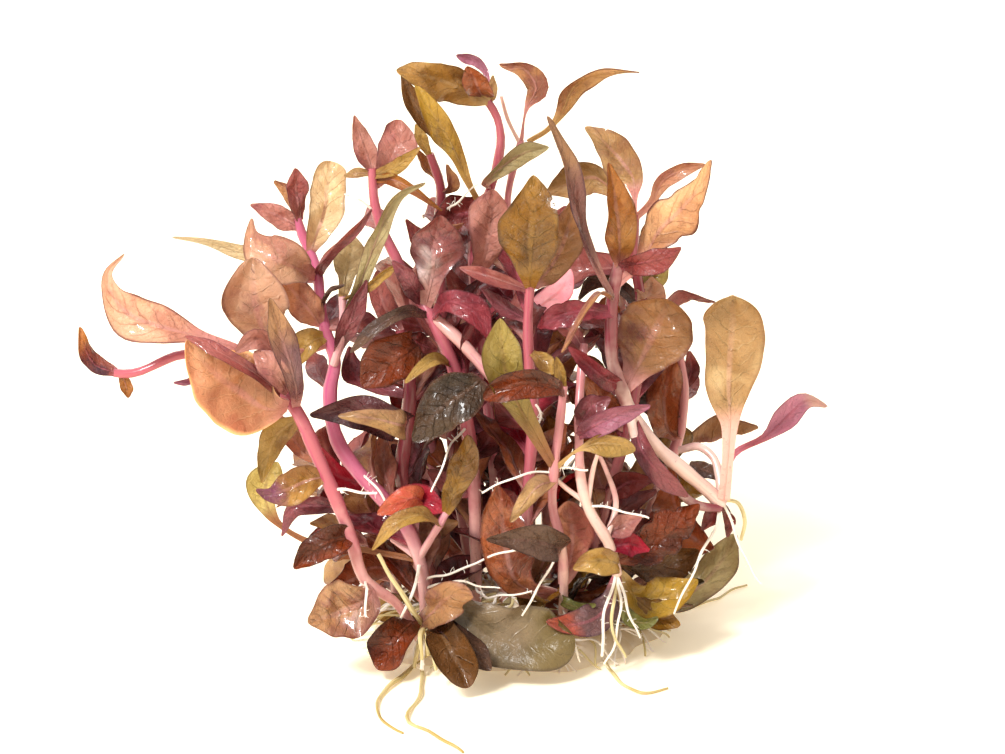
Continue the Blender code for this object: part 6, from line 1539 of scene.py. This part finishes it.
def back_shoot(name, foot_place, head_place, first_azimuth, finishes, slot):
    """A shoot behind the middle: a bent stem with crossed pairs of leaves."""
    start, width = foot(*foot_place, BACK_STEM_WIDTH)
    start[2] = tangle_top(*foot_place) + ABOVE_MAT
    head = np.array(head_place, dtype=float)
    middle = (start + head) / 2
    bend = np.array((start[0], start[1], middle[2])) * 0.6 + middle * 0.4
    stem = [(start, width), (bend, width), ((bend + head) / 2, width * 0.9), (head, width * 0.8)]
    rise = (head - bend) / np.linalg.norm(head - bend)
    small = []
    for pair, share in enumerate(BACK_PAIR_PLACES):
        low, high, part = (start, bend, share * 2) if share < 0.5 else (bend, head, share * 2 - 1)
        for half in range(2):
            azimuth = math.radians(first_azimuth + 90 * pair + 180 * half)
            level = square_to(np.array((math.cos(azimuth), math.sin(azimuth), 0)), rise)
            place_on_stem = low + (high - low) * part + rise * PAIR_STEP * half
            finish = finishes[(pair + half) % len(finishes)]
            small.append(free_leaf(finish, place_on_stem, level, rise, BACK_LEAF_LENGTH, BACK_LEAF_WIDTH))
            SHELLS.append(shell(small[-1]))
    sunk = [(start - np.array((0, 0, IN_MAT)), width)] + stem
    STEM_LINES[name] = smooth_route(stem)[0]
    join([bend_rod("stem_pink", sunk, STEM_ROD)], name + "_stems", "stem", name)
    join(small, name + "_leaves", slot, name)


back_shoot("shoot_back_1", (-12.4, 2), (-18.5, 5, 15), 30, ("bronze", "rose"), "leaf_bronze")
back_shoot("shoot_back_2", (-8.2, 6.2), (-11.5, 16.5, 28.5), 0, ("rose", "salmon", "plum"), "leaf_rose")
back_shoot("shoot_back_3", (-4.2, 7.4), (-4, 21, 21), 0, ("tan", "bronze"), "leaf_tan")
back_shoot("shoot_back_4", (-1, 6.4), (-2.5, 12.5, 33), 35, ("maroon", "rose"), "leaf_maroon")
back_shoot("shoot_back_5", (2.6, 7.4), (5, 20, 24.5), 80, ("bronze", "amber"), "leaf_bronze")
back_shoot("shoot_back_6", (6.4, 5.8), (11.5, 16, 28), 90, ("rose", "rust", "maroon"), "leaf_rose")
back_shoot("shoot_back_7", (10, 6.6), (16, 15, 14), 60, ("olive", "bronze"), "leaf_olive")
print("stems so far:", len(STEM_LINES))

# %% [markdown]
# ## The leaves in between
# Inside, the clump is dark and full: each stem carries pairs of small leaves all the way down. They grow by
# rule from the stems that are already there. A leaf may only reach backwards from its stem, so that no drawn
# stem or leaf is hidden, and it may not leave the clump's outline or its box.

# %% Where a leaf may grow
FILL_OUTLINE = (
    (-14, 2), (-20, 6), (-20.5, 14), (-17, 19), (-15.5, 24), (-15, 29), (-12.5, 33), (-11.5, 38), (-7, 42),
    (-1, 43), (4, 40), (8, 36.5), (12, 35), (16, 32), (17, 24), (15.5, 18.5), (17, 14.5), (18.5, 9),
    (17, 3), (8, -2), (-5, -3),
)
LOW_FINISHES = "rust bronze umber maroon russet olive rose tan rust russet salmon".split()
MIDDLE_FINISHES = "maroon wine rust rose maroon crimson wine bronze maroon dark rose plum rust salmon".split()
HIGH_FINISHES = "rose maroon bronze plum copper rose wine salmon blossom".split()
LOW_ENDS, MIDDLE_ENDS = 9, 27
LEAF_MARGIN = np.array((2, 1.5, 2))
BACKWARDS = 1.0


def finish_at(up):
    """A finish for this height of the clump: brown and olive low down, red in the middle, rose above."""
    if up < LOW_ENDS:
        return luck.choice(LOW_FINISHES)
    return luck.choice(MIDDLE_FINISHES if up < MIDDLE_ENDS else HIGH_FINISHES)


def inside_outline(across, up, outline=FILL_OUTLINE):
    """Whether a drawn place lies inside a closed outline."""
    inside = False
    for (a0, u0), (a1, u1) in zip(outline, outline[1:] + outline[:1]):
        if (u0 > up) != (u1 > up) and across < a0 + (up - u0) * (a1 - a0) / (u1 - u0):
            inside = not inside
    return inside


def in_box(spot, margin, lowest):
    """Whether a place keeps this far from the sides, back and top of the box, and above its lowest height."""
    inner = BOX_HIGH - margin
    return BOX_LOW[0] + margin[0] < spot[0] < inner[0] and spot[1] < inner[1] and lowest < spot[2] < inner[2]


def room_for(start, reach):
    """Whether a leaf from start along reach stays behind its stem, in the outline and in the box."""
    spots = [start + reach * share for share in (0.5, 0.8, 1.0)]
    if not all(in_box(spot, LEAF_MARGIN, 2) and inside_outline(*drawn(spot)) for spot in spots):
        return False
    return reach[1] > BACKWARDS


print("a leaf fits at the middle of the clump:", room_for(np.array((0, 5, 15)), np.array((0, 5, 5))))

# %% Leaves by rule
FILL_STEP = 4.0
LOWEST_START = 1.5
RULE_TRIALS = 9
RULE_TURN = 30
LENGTHS, WIDTHS, RISES = (7, 10.5), (2.8, 4.6), (15, 60)
BARE_STEMS = ("shoot_far_left", "shoot_right", "shoot_front_centre", "shoot_front_right")


def grown_leaf(start, rise, towards):
    """A leaf from a place on a stem, turned about this way in degrees, or None where none fits."""
    for trial in range(RULE_TRIALS):
        azimuth = math.radians(towards + luck.uniform(-RULE_TURN, RULE_TURN) * (1 + trial))
        level = square_to(np.array((math.cos(azimuth), math.sin(azimuth), 0.02)), rise)
        length, width = luck.uniform(*LENGTHS), luck.uniform(*WIDTHS)
        steep = math.radians(luck.uniform(*RISES))
        reach = (level * math.cos(steep) + rise * math.sin(steep)) * length
        if start[2] < LOWEST_START or not room_for(start, reach):
            continue
        leaf = free_leaf(finish_at(drawn(start + reach / 2)[1]), start, level, rise, length, width, steep)
        if keep(leaf):
            return leaf
    return None


luck.seed(21)
filling = {}
for name, line in STEM_LINES.items():
    if name in BARE_STEMS:
        continue
    steps = np.linalg.norm(np.diff(line, axis=0), axis=1)
    heights = np.concatenate(([0], np.cumsum(steps)))
    at = luck.uniform(2.0, 4.0)
    quarter = luck.uniform(0, 180)
    while at < heights[-1] - 2.5:
        number = int(np.searchsorted(heights, at))
        start = line[number]
        rise = line[min(number + 2, len(line) - 1)] - line[max(number - 2, 0)]
        rise = rise / np.linalg.norm(rise)
        for half in range(2):
            leaf = grown_leaf(start, rise, quarter + 180 * half)
            if leaf:
                filling.setdefault(name, []).append(leaf)
        at += FILL_STEP * luck.uniform(0.8, 1.2)
        quarter += 90
print("leaves by rule:", sum(len(leaves) for leaves in filling.values()), "on", len(filling), "stems")

# %% [markdown]
# ## Leaves for the gaps
# In the real clump hardly any light comes through the middle. So straight lines of sight are cast through the
# outline from the front, and where one meets nothing, a leaf is grown into the gap from the nearest stem.

# %% Finding the gaps
GAP_STEP = 1.3
GAP_ACROSS, GAP_UP = (-21, 19), (-3, 44)


def cover_tree():
    """All leaves and stems so far as one search tree."""
    corners, faces = [], []
    for thing in bpy.data.objects:
        if thing.type == "MESH" and thing.data.attributes.get("tone"):
            start = len(corners)
            corners.extend(blank_corners(thing).tolist())
            faces.extend([start + number for number in face.vertices] for face in thing.data.polygons)
    return BVHTree.FromPolygons(corners, faces)


def open_places():
    """The drawn places inside the outline where nothing stands in the line of sight."""
    cover = cover_tree()
    found = []
    for across in np.arange(*GAP_ACROSS, GAP_STEP):
        for up in np.arange(*GAP_UP, GAP_STEP):
            if inside_outline(across, up):
                sight = Vector(place(across, up, 0) - EYE).normalized()
                if cover.ray_cast(Vector(EYE * MM), sight)[0] is None:
                    found.append((float(across), float(up)))
    return found


gaps = open_places()
print("gaps before:", len(gaps))

# %% Filling the gaps
GAP_APART = 1.7
GAP_TRIALS = 30
GAP_DEPTHS, GAP_WIDTHS = (-2, 11), (3.2, 4.8)
PAST_GAP, GAP_ARCH, GAP_TILT = (1.8, 2.8), (0.2, 1.2), 0.6
NEAREST, FARTHEST, ABOVE_GAP = 2.5, 11.0, 1.5
stem_names = [name for name, line in STEM_LINES.items() for _ in line]
stem_points = np.concatenate(list(STEM_LINES.values()))


def leaf_over(across, up):
    """A leaf that covers a drawn place, with the number of the stem point it grows from, or None."""
    for _ in range(GAP_TRIALS):
        aim = place(across, up, luck.uniform(*GAP_DEPTHS))
        reaches = np.linalg.norm(stem_points - aim, axis=1)
        low_enough = stem_points[:, 2] < aim[2] + ABOVE_GAP
        fit = np.flatnonzero((reaches > NEAREST) & (reaches < FARTHEST) & low_enough)
        if aim[2] < LOWEST_START or not len(fit):
            continue
        chosen = int(min(luck.sample(list(fit), min(6, len(fit))), key=lambda number: reaches[number]))
        start = stem_points[chosen]
        end = aim + (aim - start) / reaches[chosen] * luck.uniform(*PAST_GAP)
        if not (BOX_LOW[0] + 1 < end[0] < BOX_HIGH[0] - 1 and 1 < end[2] and end[1] < BOX_HIGH[1] - 1):
            continue
        lift = np.array((0, 0, luck.uniform(*GAP_ARCH)))
        width = luck.uniform(*GAP_WIDTHS)
        middle = start + (aim - start) * 0.45 + lift
        stations = [(start, STALK_WIDTH), (middle, width * 0.7), (aim, width), (end, TIP_WIDTH)]
        tilt = np.array([luck.uniform(-GAP_TILT, GAP_TILT) for _ in range(3)])
        leaf = bend_leaf(finish_at(up), 0, stations, facing=(EYE - aim) / VIEW_REACH + tilt)
        if keep(leaf):
            return leaf, chosen
    return None


luck.seed(77)
luck.shuffle(gaps)
closed = []
for across, up in gaps:
    if any(math.hypot(across - a, up - u) < GAP_APART for a, u in closed):
        continue
    found = leaf_over(across, up)
    if found:
        filling.setdefault(stem_names[found[1]], []).append(found[0])
        closed.append((across, up))
for name, leaves in filling.items():
    join(leaves, name + "_inner_leaves", "leaf_maroon", name)
print("leaves for gaps:", len(closed), "of", len(gaps))

# %% [markdown]
# ## The root mat
# All roots are matted into one low cushion that the clump stands on. A squashed ball cut flat below gives
# the matted middle, and threads are laid over it and out to its rim.

# %% The mat's middle
MOUND_INSET, MOUND_DROP = 0.6, 0.8
bpy.ops.object.select_all(action="DESELECT")
bpy.ops.mesh.primitive_uv_sphere_add(segments=64, ring_count=32, radius=1)
bpy.ops.object.mode_set(mode="EDIT")
bpy.ops.mesh.select_all(action="SELECT")
bpy.ops.mesh.bisect(plane_co=(0, 0, 0), plane_no=(0, 0, 1), clear_inner=True, use_fill=True)
bpy.ops.mesh.select_all(action="SELECT")
bpy.ops.mesh.normals_make_consistent(inside=False)
bpy.ops.object.mode_set(mode="OBJECT")
mound = settle("mound")
bpy.ops.object.shade_smooth_by_angle(angle=SMOOTH_BELOW)
flat = blank_corners(mound)
angle = np.arctan2(flat[:, 1], flat[:, 0])
reach = 0.93 + 0.04 * np.sin(5 * angle + 1) + 0.03 * np.sin(11 * angle + 2.2)
lumps = 1 + 0.12 * np.sin(flat[:, 0] * 17 + 1) * np.sin(flat[:, 1] * 13) + 0.06 * np.sin(flat[:, 0] * 41)
corners = np.column_stack((
    TANGLE_MIDDLE[0] + flat[:, 0] * reach * (TANGLE_HALF[0] - MOUND_INSET),
    TANGLE_MIDDLE[1] + flat[:, 1] * reach * (TANGLE_HALF[1] - MOUND_INSET),
    FLOOR_GAP + flat[:, 2] * (TANGLE_HEIGHT - MOUND_DROP) * lumps * 0.86,
))
uv = np.column_stack((corners[:, 0] / 10, corners[:, 1] / 10))
mat_parts = [new_piece(mound, corners, uv, ("root_mat",), 0)]
print("mound corners:", len(corners))

# %% Threads over the mat
THREADS = 170
THREAD_WIDTH, THREAD_TAPER = 0.34, 0.14
luck.seed(33)
for _ in range(THREADS):
    azimuth = luck.uniform(0, math.tau)
    near = luck.uniform(0.0, 0.75)
    far = near + luck.uniform(0.25, 0.7)
    swing = luck.uniform(-0.6, 0.6)
    thread = []
    for share in (0, 0.33, 0.66, 1):
        level = near + (min(far, 1.0) - near) * share
        turned = azimuth + swing * share
        x, y = TANGLE_MIDDLE + np.array((math.cos(turned), math.sin(turned))) * TANGLE_HALF * level
        lift = luck.uniform(-0.1, 0.5)
        spot = np.array((x, y, max(0.2, tangle_top(x, y) * 0.9 + lift)))
        thread.append((spot, THREAD_WIDTH - THREAD_TAPER * share))
    finish = luck.choice(("root_white", "root_white", "root_gold"))
    mat_parts.append(bend_rod(finish, thread, ROOT_ROD, 0.25))
join(mat_parts, "root_mat", "root", "root_tangle")
print("threads:", len(mat_parts) - 1)

# %% [markdown]
# ## The leaves at the foot
# Short shoots sprout from the mat as well, so small leaves ring the foot and hide most of the roots. They
# grow outwards from the mat. In front they stay low and behind the leaves that are drawn there.

# %% Leaves from the mat
FOOT_OUTLINE = (
    (-12.5, -1.5), (-14.5, 3), (-13.5, 9), (16, 9), (18.5, 5), (15, 1), (10, -1.2), (-2, -3), (-8, -2.4),
)
FOOT_FINISHES = "rust maroon olive slate dark bronze olive umber sage smoke".split()
FOOT_TRIALS = 400
FOOT_LENGTHS, FOOT_WIDTHS, FOOT_RISES = (6.0, 9.5), (3.2, 5.0), (12, 62)
FOOT_FRONT = -12.0
UPWARDS = np.array((0, 0, 1.0))
luck.seed(52)
foot_leaves = []
for _ in range(FOOT_TRIALS):
    azimuth = luck.uniform(0, math.tau)
    level = np.array((math.cos(azimuth), math.sin(azimuth), 0.0))
    x, y = TANGLE_MIDDLE + level[:2] * TANGLE_HALF * luck.uniform(0.3, 0.9)
    start = np.array((x, y, max(0.5, tangle_top(x, y) - 0.3)))
    steep = math.radians(luck.uniform(*FOOT_RISES))
    length, width = luck.uniform(*FOOT_LENGTHS), luck.uniform(*FOOT_WIDTHS)
    reach = (level * math.cos(steep) + UPWARDS * math.sin(steep)) * length
    tip = start + reach
    if not (BOX_LOW[0] + 2 < tip[0] < BOX_HIGH[0] - 2 and FOOT_FRONT < tip[1] < BOX_HIGH[1] - 2):
        continue
    if not all(inside_outline(*drawn(start + reach * share), FOOT_OUTLINE) for share in (0.6, 1.0)):
        continue
    leaf = free_leaf(luck.choice(FOOT_FINISHES), start, level, UPWARDS, length, width, steep)
    if keep(leaf):
        foot_leaves.append(leaf)
join(foot_leaves, "foot_leaves", "leaf_olive", "root_tangle")
print("leaves at the foot:", len(foot_leaves))

# %% [markdown]
# ## The blanks go
# The blanks have done their work. They aren't part of the clump, so they are removed.

# %% Remove the blanks
for blank in (FINE_LEAF, SMALL_LEAF, STEM_ROD, TWIG_ROD, ROOT_ROD, HAIR_ROD, mound):
    bpy.data.objects.remove(blank)
pieces = [thing for thing in bpy.data.objects if thing.type == "MESH" and thing.data.attributes.get("tone")]
triangles = [sum(len(face.vertices) - 2 for face in thing.data.polygons) for thing in pieces]
print(len(pieces), "pieces,", sum(triangles), "triangles, the largest", max(triangles))

# %% [markdown]
# ## Floor, light and camera
# The clump stands on plain white under soft studio light, brightest from the upper left front. The white
# surface throws much light back up through the thin leaves, and it also glows a little in warm white by
# itself, though it is no lamp: this painted glow lights the leaves from below and makes the shadows on it
# pale and beige. The camera looks down at twenty degrees from half a metre away.

# %% Floor
FLOOR_SIZE = 4
FLOOR_GLOW = 0.32
bpy.ops.object.select_all(action="DESELECT")
bpy.ops.mesh.primitive_plane_add(size=FLOOR_SIZE)
floor = bpy.context.object
floor.name = "floor"
paper = bpy.data.materials.new("white_paper_with_painted_glow")
paper.use_nodes = True
sheet = paper.node_tree.nodes["Principled BSDF"]
grain = noise(paper.node_tree, add(paper.node_tree, "TexCoord").outputs["Object"], 60.0, 3.0)
whites = blend_colours(paper.node_tree, grain, tint("fff4dc"), tint("fdf0d4"))
paper.node_tree.links.new(whites, sheet.inputs["Base Color"])
sheet.inputs["Roughness"].default_value = 0.7
# The floor glows a little in warm white, though it is no lamp: painted light that lights the leaves from
# below and makes the shadows on the floor pale and beige.
sheet.inputs["Emission Color"].default_value = tint("f0dab4")
sheet.inputs["Emission Strength"].default_value = FLOOR_GLOW
floor.data.materials.append(paper)
print("floor:", [round(side, 1) for side in floor.dimensions], "m")

# %% Lights
AIMED_AT = np.array((0, 0, 0.025))
ROOM_GLOW = 0.78


def lamp_at(name, kind, place_in_room, power, **settings):
    """A soft lamp that looks at the middle of the clump."""
    lamp = bpy.data.lights.new(name, kind)
    lamp.energy = power
    for key, value in settings.items():
        setattr(lamp, key, value)
    holder = bpy.data.objects.new(name, lamp)
    bpy.context.scene.collection.objects.link(holder)
    holder.location = place_in_room
    target = AIMED_AT - np.array(place_in_room)
    across_room = math.hypot(target[0], target[1])
    holder.rotation_euler = (
        math.atan2(across_room, -target[2]), 0, math.atan2(target[1], target[0]) - math.pi / 2
    )


lamp_at("key", "SUN", (-0.5, -0.5, 0.8), 2.1, angle=math.radians(34), color=(1, 0.97, 0.92))
lamp_at("glint", "AREA", (-0.3, -0.45, 0.55), 6.0, size=0.12)
lamp_at("back", "SUN", (-0.05, 0.7, 0.65), 1.1, angle=math.radians(46), color=(1, 0.96, 0.9))
sky = bpy.data.worlds.new("soft_room")
sky.use_nodes = True
sky.node_tree.nodes["Background"].inputs["Color"].default_value = (1, 1, 1, 1)
sky.node_tree.nodes["Background"].inputs["Strength"].default_value = ROOM_GLOW
bpy.context.scene.world = sky
bpy.context.scene.view_settings.view_transform = "Standard"

# %% Camera
SENSOR = 36.0
FRAME_WIDTH = 100.5
lens = bpy.data.cameras.new("view")
lens.sensor_width = SENSOR
lens.sensor_fit = "HORIZONTAL"
lens.lens = SENSOR * VIEW_REACH / FRAME_WIDTH
lens.clip_start = 0.01
camera = bpy.data.objects.new("view", lens)
bpy.context.scene.collection.objects.link(camera)
camera.location = EYE * MM
camera.rotation_euler = (math.pi / 2 - VIEW_TILT, 0, 0)
bpy.context.scene.camera = camera
print("lens", round(lens.lens, 1), "mm, camera at", (EYE * MM).round(3))

# %% [markdown]
# ## Last: the size of the plain solids
# The fine meshes must stay inside the box of the plain solids. The box of the plain solids is written down.

# %% Sizes and finish
print("CAD   ", [[round(v * 1000, 2) for v in corner] for corner in cad_box])
